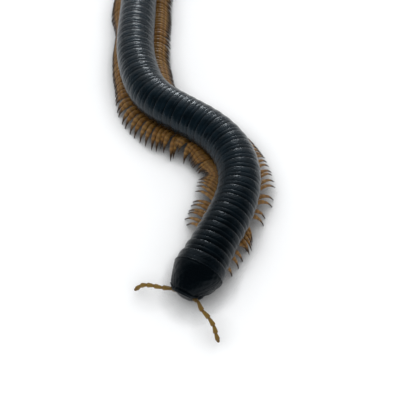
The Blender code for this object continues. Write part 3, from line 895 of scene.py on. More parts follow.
@dataclass(frozen=True)
class Rings:
    """Ring-shaped body segments, each a low front band, a seam and a raised rear band.

    Args:
        plan: The body plan.
        around: Points round the body.
        crest: Share of the plan's radius that the rear band has.
        profile: Place in the ring from front to rear and share of the crest radius; the last
            points turn under the rear rim, which overhangs the next ring.
        pore_from: First ring with a pore on each side.
        pore: Place in the ring, angle from the top in degrees, half width in mm and depth.
        striae: First and last angle of the grooves low on the flanks, degrees, and their number.
        stria: Depth of such a groove, and its half width in degrees.
        wrinkle: Height of the wrinkles everywhere, what those on the back have more, and height of
            the broad folds.
        belly: How much flatter the belly is, and over which angle.
        smooth_to, crinkled_from: Distances between which the cuticle gets its wrinkles, metres.
        least_crinkle: Share of the wrinkles that the first ring has.
        depth: Depth of the profile at the rear, what the front has more, and over how many rings.
        tucked: Share of its front's depth that the first ring loses, under the collum.
        seam_fill: Height that front rings' seams lose, and over how many rings.
        flare: How much wider the first ring is, and over how many rings.
        groove_below: Level of the profile where a groove begins, and how far below it is full.
    """

    plan: BodyPlan
    around: int = 184
    crest: float = 0.981
    profile: Pairs = (
        (-0.02, 0.935), (0.02, 0.940), (0.05, 0.947), (0.09, 0.956), (0.14, 0.964), (0.20, 0.970),
        (0.27, 0.9745), (0.325, 0.975), (0.352, 0.967), (0.378, 0.965), (0.405, 0.975),
        (0.45, 0.986), (0.52, 0.993), (0.61, 0.998), (0.70, 1.000), (0.78, 0.999), (0.85, 0.9955),
        (0.905, 0.990), (0.95, 0.981), (0.98, 0.967), (1.00, 0.950), (0.995, 0.938), (0.975, 0.930))
    pore_from: int = 5
    pore: Quad = (0.62, 84.0, 0.26, 0.020)
    striae: tuple[float, float, int] = (104.0, 156.0, 9)
    stria: Pair = (0.0075, 1.5)
    wrinkle: Triple = (0.0010, 0.0042, 0.0020)
    belly: Pair = (0.020, 0.45)
    smooth_to: float = 8.0 * MM
    crinkled_from: float = 53.0 * MM
    least_crinkle: float = 0.45
    depth: Triple = (0.52, 0.68, 6.0)
    tucked: float = 0.75
    seam_fill: Pair = (0.009, 8.0)
    flare: Pair = (0.048, 1.3)
    groove_below: Pair = (0.962, 0.03)

    def relief(self, ring: Array, share: Array, angle: Array, distance: Array) -> Array:
        """Small heights on the round ring, as shares of its radius.

        Wrinkles are seeded waves, strong on the back, a little on the flanks; striae are bells
        in the angle on the rear band; pores are bells in angle and place; the belly is flatter
        by a broad bell about its middle.

        Args:
            ring: Ring of each loop, shape (loops, 1).
            share: Place in the ring from 0 to 1, shape (loops, 1).
            angle: Angle from the top, shape (points,).
            distance: Distance along the body, shape (loops, 1).

        Returns:
            Heights, shape (loops, points).
        """
        rear = window(share, 0.40, 0.97, 0.10)
        low = np.abs((angle + math.pi) % TURN - math.pi)
        dorsal = smooth_step((np.cos(angle) - 0.35) / 0.5)
        coarse = Ripple(11, 30, (20, 64), (0.6 * MM, 1.3 * MM)).at(angle, distance)
        folds = Ripple(12, 18, (3, 12), (1.1 * MM, 3.0 * MM)).at(angle, distance)
        everywhere, extra, broad = self.wrinkle
        height = rear * (extra * dorsal + everywhere) * coarse + broad * folds
        first, last, count = self.striae
        for number in range(count):
            at = math.radians(first + (last - first) * number / (count - 1))
            height = height - self.stria[0] * rear * bump(low - at, math.radians(self.stria[1]))
        place, turn, half, depth = self.pore
        along = (share - place) * self.plan.pitch
        round_body = (low - math.radians(turn)) * 0.5 * self.plan.diameter
        for width, rise in ((half, -depth), (2.2 * half, 0.3 * depth)):
            spot = bump(along, width * MM) * bump(round_body, width * MM)
            height = height + rise * spot * (ring >= self.pore_from)
        return height - self.belly[0] * bump(low - math.pi, self.belly[1])

    def build(self, name: str, first: int, last: int) -> bpy.types.Object:
        """Closed skin of the rings first to last, in the bends of the body.

        A point lies at the radius for its ring times the profile and one plus the relief, at an
        angle from the top, in the plane across the body at its distance.

        Args:
            name: Name of the piece.
            first, last: Rings that it holds.

        Returns:
            The piece.
        """
        count = last - first + 1
        share = np.tile([p[0] for p in self.profile], count)[:, None]
        level = np.tile([p[1] for p in self.profile], count)[:, None]
        ring = np.repeat(np.arange(first, last + 1), len(self.profile))[:, None]
        distance = self.plan.front(ring) + share * self.plan.pitch
        angle = TURN * (np.arange(self.around) + 0.5) / self.around
        relief = self.relief(ring, share, angle, distance)
        fill, rings = self.seam_fill
        level = level + fill * bump(share - 0.365, 0.03) * bump(ring, rings)
        least, more, rings = self.depth
        depth = least + more * bump(ring, rings)
        depth = depth * (1.0 - self.tucked * (ring == 1) * (share < 0.6))
        crest = self.crest + self.flare[0] * bump(ring - 1.0, self.flare[1])
        radius = crest * self.plan.radius(ring) * (1.0 - depth * (1.0 - level) + relief)
        height = self.plan.height(ring)
        loops = self.plan.place(distance, radius * np.sin(angle), height + radius * np.cos(angle))
        rest = xyz(radius * np.sin(angle), distance, radius * np.cos(angle))
        groove = smooth_step((self.groove_below[0] - level) / self.groove_below[1])
        older = smooth_step((distance - self.smooth_to) / (self.crinkled_from - self.smooth_to))
        crinkle = self.least_crinkle + (1.0 - self.least_crinkle) * older
        return skin(name, loops, rest, groove, crinkle)


REAR_SWING = ((36.5, -10), (42.0, 12), (45.5, -10), (51.0, 12), (54.5, -8), (59.0, 6))
REAR_LIFT = ((31.0, 0.00), (33.0, 0.08), (35.0, 0.00), (40.0, 0.00), (42.0, 0.08), (44.0, 0.00),
             (49.0, 0.00), (51.0, 0.08), (53.0, 0.00))


@dataclass(frozen=True)
class Pose:
    """How one leg stands.

    Args:
        ring: Its ring.
        pair: Which of the ring's pairs it belongs to, 0 or 1.
        side: Its side.
        swing: Turn towards the head, radians.
        lift: Height of its foot, metres.
        reach: Length across the body as a share of the full one.
    """

    ring: int
    pair: int
    side: Side
    swing: float
    lift: float
    reach: float


@dataclass(frozen=True)
class Legs:
    """Walking legs: coxa, four long articles, tarsus and claw, bent like sickles.

    Args:
        plan: The body plan.
        single_pair_rings: Front rings with one pair of legs each.
        bare_tail_rings: Rear rings without legs.
        places: Places of a ring's two pairs, shares of the pitch.
        stations: Across and height of the leg's course in body diameters, from inside the ring.
        knots: Shares of the leg's length at those stations.
        halves: Share of the length and half width there in body diameters.
        joints: Shares of the length where two articles meet.
        bow: How far the leg bows towards the tail between root and tip, body diameters.
        around: Points round a leg.
        lift_power: Power of the lift's growth from the root to the foot.
        swell, pinch: How much wider a leg is before a joint, and narrower at it.
        stout: How much thicker the outer part is behind the rings of stout_from.
        stout_from: Rings over which it gets so.
        stout_at: Shares of the length between which it is so, and over how much it eases in.
        reach, swing, lift: Knots over the rings for the leg's reach, its swing towards the head
            in degrees, and the height of its foot, by side.
        jitter: Random part of the swing, degrees.
    """

    plan: BodyPlan
    single_pair_rings: int = 3
    bare_tail_rings: int = 2
    places: Pair = (0.33, 0.74)
    stations: Pairs = (
        (0.165, 0.310), (0.225, 0.165), (0.500, 0.290), (0.760, 0.190), (0.910, 0.000))
    knots: tuple[float, ...] = (0.0, 0.15, 0.46, 0.76, 1.0)
    halves: Pairs = (
        (0.0, 0.050), (0.16, 0.062), (0.34, 0.064), (0.50, 0.055), (0.63, 0.041), (0.75, 0.029),
        (0.85, 0.020), (0.93, 0.0135), (1.0, 0.0045))
    joints: tuple[float, ...] = (0.0, 0.16, 0.37, 0.53, 0.66, 0.77, 0.92, 1.0)
    bow: float = 0.13
    around: int = 8
    lift_power: float = 1.2
    jitter: float = 1.5
    swell: float = 0.07
    pinch: float = 0.10
    stout: float = 0.62
    stout_from: Pair = (12.0, 18.0)
    stout_at: Triple = (0.52, 0.92, 0.22)
    reach: dict[Side, Pairs] = field(default_factory=lambda: {
        Side.LEFT: (
            (0.8, 0.24), (1.8, 0.30), (2.8, 0.48), (3.8, 0.56), (5.2, 0.55), (5.8, 0.74),
            (8.2, 0.70), (9.0, 0.96), (10.0, 1.10), (12.2, 1.00), (52.0, 1.00), (58.0, 0.74)),
        Side.RIGHT: (
            (1.0, 0.40), (4.0, 0.46), (5.2, 1.15), (7.2, 1.20), (8.2, 1.36), (9.0, 1.34),
            (11.2, 0.92), (14.0, 0.84), (15.0, 0.88), (17.0, 0.70), (17.8, 0.68), (18.2, 0.92),
            (18.8, 0.70), (19.2, 0.72), (19.8, 0.96), (20.2, 1.14), (21.2, 0.84), (22.0, 1.10),
            (24.0, 1.00), (29.0, 0.72), (36.0, 0.72), (41.0, 1.00), (52.0, 1.00), (58.0, 0.74))})
    swing: dict[Side, Pairs] = field(default_factory=lambda: {
        Side.LEFT: (
            (0.8, -19), (1.8, -6), (2.8, 11), (3.8, 14), (4.2, 1), (4.8, -20), (5.2, -4), (5.8, 28),
            (6.2, 26), (7.2, 38), (7.8, -8), (9.0, -26), (10.0, -35), (12.2, -24), (14.0, -6),
            (16.0, 8), (19.0, 2), (27.0, -12), (33.0, 12), *REAR_SWING),
        Side.RIGHT: (
            (1.0, 4), (4.2, 8), (5.0, -10), (7.0, -12), (8.2, -27), (9.2, -33), (11.2, -36),
            (12.2, -31), (14.0, -11), (15.2, -16), (16.8, -9), (17.6, -14), (18.2, 12), (18.8, -3),
            (19.2, 0), (19.8, 14), (20.2, 18), (21.2, 8), (22.0, 18), (24.0, 10), (28.0, -8),
            (33.0, 10), *REAR_SWING)})
    lift: dict[Side, Pairs] = field(default_factory=lambda: {
        Side.LEFT: (
            (5.2, 0.00), (5.8, 0.10), (7.2, 0.10), (7.8, 0.00), (9.0, 0.00), (10.0, 0.10),
            (12.2, 0.10), (14.0, 0.00), *REAR_LIFT),
        Side.RIGHT: (
            (7.2, 0.00), (8.2, 0.10), (17.0, 0.10), (17.6, 0.20), (18.2, 0.08), (18.8, 0.20),
            (19.2, 0.20), (19.8, 0.08), (22.0, 0.08), (24.0, 0.00), *REAR_LIFT)})

    @cached_property
    def poses(self) -> list[Pose]:
        """Pose of every leg, by the knots at its place and a random part of its swing.

        Returns:
            The poses from the front on, whose random draws follow this order.
        """
        draw = random.Random(7)
        made = []
        for ring in range(1, self.plan.rings - self.bare_tail_rings + 1):
            for pair in (0,) if ring <= self.single_pair_rings else (0, 1):
                for side in Side:
                    spot = ring + self.places[pair] - 0.5
                    turn = eased_knots(self.swing[side], spot)
                    turn += self.jitter * draw.uniform(-1.0, 1.0)
                    made.append(Pose(ring, pair, side, math.radians(turn),
                                     self.plan.diameter * eased_knots(self.lift[side], spot),
                                     eased_knots(self.reach[side], spot)))
        return made

    def spots(self) -> Array:
        """Shares of the length that get a loop: three in each article, two of them at its ends.

        Returns:
            Shares in rising order, shape (spots,).
        """
        starts = np.array(self.joints[:-1])
        steps = np.diff(self.joints)
        inner = starts[:, None] + steps[:, None] * np.array((0.06, 0.5, 0.94))
        return np.append(inner.ravel(), 1.0)

    def half_widths(self, spots: Array) -> tuple[Array, Array]:
        """Half width in body diameters and how near a joint each spot is.

        The smooth taper, wider by the swell towards the far end of each article and drawn in by
        the pinch at the joint.

        Args:
            spots: Shares of the leg's length.

        Returns:
            Half widths, and nearness to a joint from 0 to 1.
        """
        knots, halves = np.array(self.halves).T
        taper = monotone(knots, halves[:, None], spots)[:, 0]
        inner = np.array(self.joints[1:-1])
        gap = spots[:, None] - inner
        near = bump(np.min(np.abs(gap), axis=1), 0.016)
        before = bump(np.min(np.where(gap < 0.0, -gap, 9.0), axis=1) - 0.03, 0.03)
        return taper * (1.0 + self.swell * before - self.pinch * near), near

    def build(self, name: str, first: int, last: int, side: Side) -> bpy.types.Object:
        """All legs of one side on the rings first to last.

        A leg's course is the smooth curve through its stations, in an upright plane that turns
        by the swing about the leg's root, bowed towards the tail by a parabola.

        Args:
            name: Name of the piece.
            first, last: Rings whose legs it holds.
            side: Side of the animal.

        Returns:
            The piece.
        """
        chosen = [p for p in self.poses if first <= p.ring <= last and p.side is side]
        rows = [(p.ring, self.places[p.pair], p.swing, p.lift, p.reach) for p in chosen]
        ring, place, swing, lift, reach = np.array(rows).T[..., None]
        size = self.plan.diameter
        out, up = np.array(self.stations).T
        root, tip = out[1], out[-1]
        beyond = np.maximum(0.0, out - root)
        drop = self.plan.axis - self.plan.height(ring)
        across = (np.minimum(out, root) + beyond * reach) * size
        height = (up * size - drop * np.minimum(1.0, up / up[1])
                  + lift * (beyond / (tip - root)) ** self.lift_power)
        spots = self.spots()
        knots = np.array(self.knots)
        weights = hermite(knots, np.eye(len(knots)), np.gradient(np.eye(len(knots)), knots, axis=0),
                          spots)
        across = across @ weights.T
        height = height @ weights.T
        base = self.plan.front(ring) + place * self.plan.pitch
        reached = across - root * size
        tuck = self.bow * size * (spots - spots ** 2) * np.minimum(1.0, reach)
        behind = base - reached * np.sin(swing) + tuck
        sideways = side.value * (root * size + reached * np.cos(swing))
        centres = self.plan.straight(base, behind, sideways, height)
        halves, near = self.half_widths(spots)
        start, end = self.stout_from
        stout = smooth_step((ring - start) / (end - start)) * window(spots, *self.stout_at)
        halves = halves * size * (1.0 + self.stout * stout)
        centres[..., 2] = np.maximum(centres[..., 2], 0.9 * halves)
        loops = tubes(centres, halves, self.around, level=False)
        loops[..., 2] = np.maximum(loops[..., 2], 0.0)
        shape = loops.shape[:3]
        tone = np.random.default_rng(100 + first).uniform(0.25, 1.0, len(chosen))
        return Surfaces(loops, {
            "along": np.broadcast_to(spots[:, None], shape),
            "knee": np.broadcast_to((0.75 * near)[:, None], shape),
            "tone": np.broadcast_to(tone[:, None, None], shape),
        }).make(name)


@dataclass(frozen=True)
class Trunk:
    """Rings and legs of the trunk, one piece of rings and two of legs for each named length.

    Args:
        plan: The body plan.
    """

    plan: BodyPlan

    def build(self) -> None:
        """Build and dress every length."""
        rings = Rings(self.plan)
        legs = Legs(self.plan)
        first = 1
        for number, last in enumerate(self.plan.ends, start=1):
            node = f"trunk_{number}"
            dress(rings.build(f"rings_{number}", first, last), BLACK, Slot.SHELL, node)
            for side in Side:
                piece = legs.build(f"legs_{number}_{side.word}", first, last, side)
                dress(piece, AMBER, Slot.LIMB, node)
            first = last + 1


# Head


@dataclass(frozen=True)
class HeadFrame:
    """Straight frame at the neck, in body diameters: forward, to the left, above the axis.

    Args:
        plan: The body plan.
        neck: Distance of the neck along the body, metres.
        shift: Shift of the head across, body diameters.
    """

    plan: BodyPlan
    neck: float = 4.2 * MM
    shift: float = -0.03

    def world(self, local: Array) -> Array:
        """World points of local ones, shape (..., 3).

        Args:
            local: Points in this frame, body diameters, last axis of 3.

        Returns:
            Points, metres, of the same shape.
        """
        size = self.plan.diameter
        return self.plan.straight(self.neck, self.neck - local[..., 0] * size,
                                  (local[..., 1] + self.shift) * size,
                                  self.plan.height(0) + local[..., 2] * size)

    def skin(self, name: str, local: Array, groove: Array, crinkle: float) -> bpy.types.Object:
        """Black piece of one closed surface given by its local points."""
        rest = (local * self.plan.diameter)[..., [1, 0, 2]]
        return skin(name, self.world(local), rest, groove, crinkle)


@dataclass(frozen=True)
class Collum:
    """Shield behind the head: an arched plate with a bead along its front and side margins.

    Args:
        frame: The neck's frame.
        length: Length along the body, body diameters.
        wall: Thickness.
        span: Half angle of the arch at the rear, degrees.
        span_loss: Share of it that is lost at the front.
        sweep: How far the sides lag behind the top at the front.
        width, height, centre: Half width, height and middle of the arch at the rear, how much
            they fall to the front, and the power of that fall.
        overhang: How much longer the plate's top reaches forward.
        lap: How far its rear edge lies over the first ring.
        corners: How far the rear corners reach forward, and the front corners back.
        lean: How far it stands to the left at the rear, and to the right at the front.
        columns: Loops across the arch.
        margins: Place and height of the bead, and place and depth of the groove inside it, at
            the front, the rear and the sides.
        ridges: Furrows on each side lobe.
        furrow: Place of the first one, step to the next, depth and half width.
        dents: Depth of the plate's unevenness.
        crinkle: How wrinkled and glossy the cuticle is.
    """

    frame: HeadFrame
    length: float = 0.50
    wall: float = 0.06
    span: float = 107.0
    span_loss: float = 0.34
    sweep: float = 0.05
    width: Triple = (0.530, 0.245, 1.2)
    height: Triple = (0.525, 0.222, 2.0)
    centre: Triple = (0.0, 0.158, 1.8)
    overhang: float = 0.090
    lap: float = 0.012
    corners: Pair = (0.16, 0.10)
    lean: Pair = (0.030, 0.045)
    columns: int = 150
    margins: tuple[Quad, ...] = (
        (0.016, 0.010, 0.044, 0.009), (0.012, 0.004, 0.036, 0.003), (0.985, 0.008, 0.955, 0.007))
    ridges: int = 6
    furrow: Quad = (0.60, 0.062, 0.0055, 0.009)
    dents: float = 0.0022
    crinkle: float = 0.14

    @staticmethod
    def fall(form: Triple, t: Array) -> Array:
        """First number less the second times t to the power of the third."""
        return form[0] - form[1] * np.maximum(t, 0.0) ** form[2]

    def section(self) -> tuple[Array, Array, Array]:
        """Place from rear to front, inset and forward shift round the plate's thickness.

        Returns:
            Three arrays of one value for each point of a loop.
        """
        out = 0.5 - 0.5 * np.cos(np.linspace(0.0, math.pi, 44))
        turn = np.linspace(0.0, math.pi, 8)[1:-1]
        half = 0.5 * self.wall
        round_inset = half * (1.0 - np.cos(turn))
        round_shift = 0.5 * half * np.sin(turn)
        inner = out[::-1][::2]
        place = np.concatenate((out, np.ones(len(turn)), inner, np.zeros(len(turn))))
        inset = np.concatenate((np.zeros(len(out)), round_inset, np.full(len(inner), self.wall),
                                round_inset[::-1]))
        shift = np.concatenate((np.zeros(len(out)), round_shift, np.zeros(len(inner)),
                                -round_shift))
        return place, inset, shift

    def relief(self, t: Array, edge: Array) -> Array:
        """Heights of the beads along the edges, each with a groove inside it, and of the ridges.

        Args:
            t: Place from rear to front, shape (points,).
            edge: Place from the middle to the side edge, 0 to 1, shape (loops, 1).

        Returns:
            Heights in body diameters, shape (loops, points).
        """
        height = np.zeros(np.broadcast(t, edge).shape)
        places = ((1.0 - t) * self.length, t * self.length, edge)
        for place, (bead, rise, groove, depth) in zip(places, self.margins):
            height = height + rise * bump(place - bead, 0.012) - depth * bump(place - groove, 0.012)
        start, step, depth, half = self.furrow
        for number in range(self.ridges):
            at = start + step * number + 0.05 * (1.0 - t) * (number / (self.ridges - 1) - 0.4)
            height = height - depth * bump(edge - at, half) * window(t, 0.10, 0.86, 0.2)
        return height

    def build(self) -> bpy.types.Object:
        """Closed plate.

        Across the arch a point is at the arch's width times the sine and height times the cosine
        of its angle, less the inset; round the thickness it follows the section. The side lobes'
        rear corners reach forward and their front corners back, by eased steps in the angle.

        Returns:
            The piece.
        """
        t, inset, shift = self.section()
        side = 0.999 * np.sin(np.linspace(-0.5 * math.pi, 0.5 * math.pi, self.columns))[:, None]
        angle = math.radians(self.span) * (1.0 - self.span_loss * t ** 2.5) * side
        edge = np.abs(side)
        outer = 1.0 - inset / self.wall
        thin = 0.25 + 0.75 * np.sqrt(np.maximum(0.0, 1.0 - edge ** 60))
        inset = 0.5 * self.wall + (inset - 0.5 * self.wall) * thin
        size = self.frame.plan.diameter
        lines = self.relief(t, edge)
        dents = Ripple(21, 16, (8, 26), (1.2 * MM, 3.2 * MM)).at(angle, t * self.length * size)
        thick = outer * (lines + self.dents * dents) - inset
        rear = (self.frame.neck - self.frame.plan.collum_rear) / size
        corner = (self.corners[0] * (1.0 - t) ** 2 * smooth_step((edge - 0.80) / 0.20) ** 2
                  - self.corners[1] * t ** 2 * smooth_step((np.abs(angle) - 0.70) / 0.80))
        place = np.clip(t + corner / self.length, 0.0, 1.0)
        forward = (rear - self.lap + (self.length + self.overhang) * t + corner
                   - self.sweep * t * np.sin(angle) ** 2 + shift)
        across = ((self.fall(self.width, place) + thick) * np.sin(angle)
                  + self.lean[0] * (1.0 - place) ** 1.5 - self.lean[1] * place ** 2)
        up = self.fall(self.centre, place) + (self.fall(self.height, place) + thick) * np.cos(angle)
        local = xyz(forward, across, up)
        grooves = np.clip(-60.0 * lines, 0.0, 1.0) * outer
        return self.frame.skin("collum_shield", local, grooves, self.crinkle)


@dataclass(frozen=True)
class HeadCapsule:
    """Smooth head with a seam down its brow, sockets for the feelers and a notched upper lip.

    Args:
        frame: The neck's frame.
        stations: Forward, half width, top and bottom from neck to mouth, body diameters.
        lower_power: Squareness of the lower half.
        rows, around: Loops from neck to mouth, and points round each.
        notch: Centre and radii of the notch in the upper lip.
        sockets: Across and up of the feelers' sockets, and their radius.
        pits: Across and up of the pits above the lip.
        heights: Of the sockets' rim and floor, of the seam and the pits, of the lip's groove and
            of the brow's, and of the unevenness.
        crinkle: How wrinkled and glossy the cuticle is.
    """

    frame: HeadFrame
    stations: tuple[Quad, ...] = (
        (-0.255, 0.437, 0.440, -0.421), (-0.100, 0.362, 0.385, -0.440),
        (0.050, 0.272, 0.285, -0.450), (0.155, 0.198, 0.160, -0.420),
        (0.193, 0.220, 0.095, -0.380), (0.227, 0.210, 0.065, -0.330),
        (0.250, 0.160, 0.005, -0.278), (0.262, 0.085, -0.070, -0.225),
        (0.266, 0.010, -0.140, -0.160))
    lower_power: float = 2.25
    rows: int = 120
    around: int = 144
    notch: tuple[Triple, Triple] = ((0.245, 0.0, -0.40), (0.06, 0.050, 0.085))
    sockets: Triple = (0.175, -0.06, 0.050)
    pits: Pairs = ((0.035, -0.300), (0.085, -0.292), (0.135, -0.275))
    heights: tuple[float, ...] = (0.010, -0.016, -0.006, -0.005, -0.003, 0.0008)
    crinkle: float = 0.16

    def build(self) -> bpy.types.Object:
        """Closed capsule.

        Loops between the stations are elliptic above their middle and squarer below; heights of
        the seam, sockets, pits and lip are added along the normal.

        Returns:
            The piece.
        """
        table = np.array(self.stations)
        steps = np.concatenate(([0.0], np.cumsum(np.linalg.norm(np.diff(table, axis=0), axis=1))))
        spots = steps[-1] * (1.0 - (1.0 - np.linspace(0.0, 1.0, self.rows)) ** 1.25)
        forward, width, top, bottom = monotone(steps, table, spots).T[..., None]
        angle = TURN * (np.arange(self.around) + 0.5) / self.around
        sine, cosine = np.sin(angle), np.cos(angle)
        power = np.where(cosine < 0.0, 2.0 / self.lower_power, 1.0)
        across = width * signed_power(sine, power)
        up = 0.5 * (top + bottom) + 0.5 * (top - bottom) * signed_power(cosine, power)
        local = xyz(forward, across, up)
        relief, groove = self.relief(local)
        local = local + normals(local) * relief[..., None]
        return self.frame.skin("head_capsule", self.cut_notch(local), groove, self.crinkle)

    def relief(self, local: Array) -> tuple[Array, Array]:
        """Heights on the face in body diameters, and how deep in a groove each point is.

        Args:
            local: Points in the head's frame, body diameters, shape (loops, points, 3).

        Returns:
            Heights and groove values, shape (loops, points).
        """
        forward, across, up = np.moveaxis(local, -1, 0)
        face = smooth_step((forward - 0.17) / 0.04)
        seam = face * bump(across, 0.0045) * smooth_step((up + 0.14) / 0.05)
        y, z, radius = self.sockets
        away = np.hypot(np.abs(across) - y, up - z)
        rim = face * bump(away - radius, 0.011)
        pit = face * bump(away, 0.6 * radius)
        pits = np.zeros(across.shape)
        for y, z in self.pits:
            pits = pits + face * bump(np.hypot(np.abs(across) - y, up - z), 0.0065)
        lip = face * bump(up + 0.355 + 0.25 * across ** 2, 0.007)
        lip = lip * window(np.abs(across), -1.0, 0.19, 0.04)
        brow = face * bump(up - 0.045 + 0.3 * across ** 2, 0.010)
        dents = Ripple(31, 12, (6, 20), (1.0 * MM, 2.5 * MM)).at(
            across * 9.0, up * self.frame.plan.diameter)
        parts = (rim, pit, seam + pits, lip, brow, dents)
        height = sum(rise * part for rise, part in zip(self.heights, parts))
        return height, np.clip(seam + pit + pits + 0.8 * lip, 0.0, 1.0)

    def cut_notch(self, local: Array) -> Array:
        """Push the lip's points that lie within the notch's ellipsoid back to its rear wall.

        Args:
            local: Points in the head's frame, body diameters, shape (loops, points, 3).

        Returns:
            Points, of the same shape.
        """
        centre, radii = (np.array(v) for v in self.notch)
        offset = (local - centre) / radii
        room = 1.0 - offset[..., 1] ** 2 - offset[..., 2] ** 2
        wall = -np.sqrt(np.maximum(room, 0.0))
        inside = (room > 0.0) & (offset[..., 0] > wall) & (local[..., 0] > 0.1)
        forward = np.where(inside, centre[0] + radii[0] * wall, local[..., 0])
        return np.concatenate((forward[..., None], local[..., 1:]), axis=-1)


@dataclass(frozen=True)
class EyeField:
    """Cluster of small lenses on a low cushion, beside each feeler's root.

    Args:
        frame: The neck's frame.
        centre, radii: Of the cushion, for the left side, body diameters.
        rows: Lenses in each row, from the top down.
        extent: Height of the top row above the middle, share of a radius.
        spacing: Distance of lenses in a row, and shift of every second row, shares of a radius.
        lens: Radius of a lens, body diameters.
    """

    frame: HeadFrame
    centre: Triple = (0.243, 0.130, 0.025)
    radii: Triple = (0.030, 0.050, 0.042)
    rows: tuple[int, ...] = (4, 7, 8, 8, 7, 4)
    extent: float = 0.78
    spacing: Pair = (0.225, 0.05)
    lens: float = 0.0062

    def build(self, side: Side) -> bpy.types.Object:
        """Cushion and lenses: half spheres set square to the cushion at hexagonal spots.

        Args:
            side: Side of the animal.

        Returns:
            The piece.
        """
        flip = np.array((1.0, side.value, 1.0))
        centre, radii = np.array(self.centre) * flip, np.array(self.radii)
        spots = []
        for row, count in enumerate(self.rows):
            z = self.extent - 2.0 * self.extent * row / (len(self.rows) - 1)
            step, shift = self.spacing
            y = (np.arange(count) - 0.5 * (count - 1)) * step + shift * (row % 2)
            spots.append(np.stack((y, np.full(count, z)), axis=-1))
        y, z = np.concatenate(spots).T
        keep = y ** 2 + z ** 2 < 0.92
        y, z = y[keep], z[keep]
        out = np.stack((np.sqrt(1.0 - 0.85 * (y ** 2 + z ** 2)), y, z), axis=-1)
        out = out / np.linalg.norm(out, axis=-1, keepdims=True)
        ball = ellipsoid(7, 10)
        lenses = (centre + 0.94 * radii * out)[:, None, None] + self.lens * ball
        pad = centre + 0.93 * radii * ellipsoid(7, 10)
        local = np.concatenate((pad[None], lenses))
        bead = np.ones(local.shape[:3])
        bead[0] = 0.0
        return Surfaces(self.frame.world(local), {"bead": bead}).make(f"ocelli_{side.word}")


@dataclass(frozen=True)
class Mouthparts:
    """Mandible cheeks at the sides and the plate that closes the mouth below.

    Args:
        frame: The neck's frame.
        mandible: Centre and radii of the left cheek, body diameters.
        plate: Centre and radii of the plate below.
        crinkle: How wrinkled and glossy the cheeks' cuticle is.
    """

    frame: HeadFrame
    mandible: tuple[Triple, Triple] = ((-0.02, 0.212, -0.325), (0.15, 0.094, 0.105))
    plate: tuple[Triple, Triple] = ((0.0, 0.0, -0.45), (0.19, 0.17, 0.09))
    crinkle: float = 0.2

    def cheek(self, side: Side) -> bpy.types.Object:
        """Ellipsoid with a groove across it, where its two plates meet, and a flatter rear.

        Args:
            side: Side of the animal.

        Returns:
            The piece.
        """
        centre, radii = (np.array(v) for v in self.mandible)
        ball = ellipsoid(44, 56)
        groove = bump(ball[..., 0] + 0.12 + 0.25 * ball[..., 2], 0.05)
        ridge = bump(ball[..., 0] + 0.32 + 0.25 * ball[..., 2], 0.10)
        scale = 1.0 - 0.05 * groove + 0.02 * ridge - 0.03 * smooth_step(-ball[..., 0])
        local = centre + radii * ball * scale[..., None]
        local[..., 1] *= side.value
        return self.frame.skin(f"mandible_cheek_{side.word}", local, groove, self.crinkle)

    def under_plate(self) -> bpy.types.Object:
        """Flattened ellipsoid, its upper part sunk, with seams that part it into five plates.

        Returns:
            The piece.
        """
        centre, radii = (np.array(v) for v in self.plate)
        ball = ellipsoid(56, 72)
        x, y, z = np.moveaxis(ball, -1, 0)
        under = smooth_step(-z / 0.3)
        seams = np.maximum.reduce((
            bump(np.abs(y) - 0.34 - 0.12 * x, 0.035) * window(x, -0.75, 1.0, 0.1),
            bump(y, 0.03) * window(x, 0.05, 1.0, 0.1),
            bump(x + 0.05 - 0.3 * np.abs(y), 0.03) * window(np.abs(y), -1.0, 0.34, 0.05),
            bump(x + 0.62 + 0.2 * y * y, 0.03)))
        scale = 1.0 - 0.045 * seams * under
        local = centre + radii * ball * scale[..., None]
        local[..., 2] = np.minimum(local[..., 2], centre[2] + 0.25 * radii[2])
        return Surfaces(self.frame.world(local)[None],
                        {"groove": (0.6 * seams * under)[None]}).make("gnathochilarium_plate")


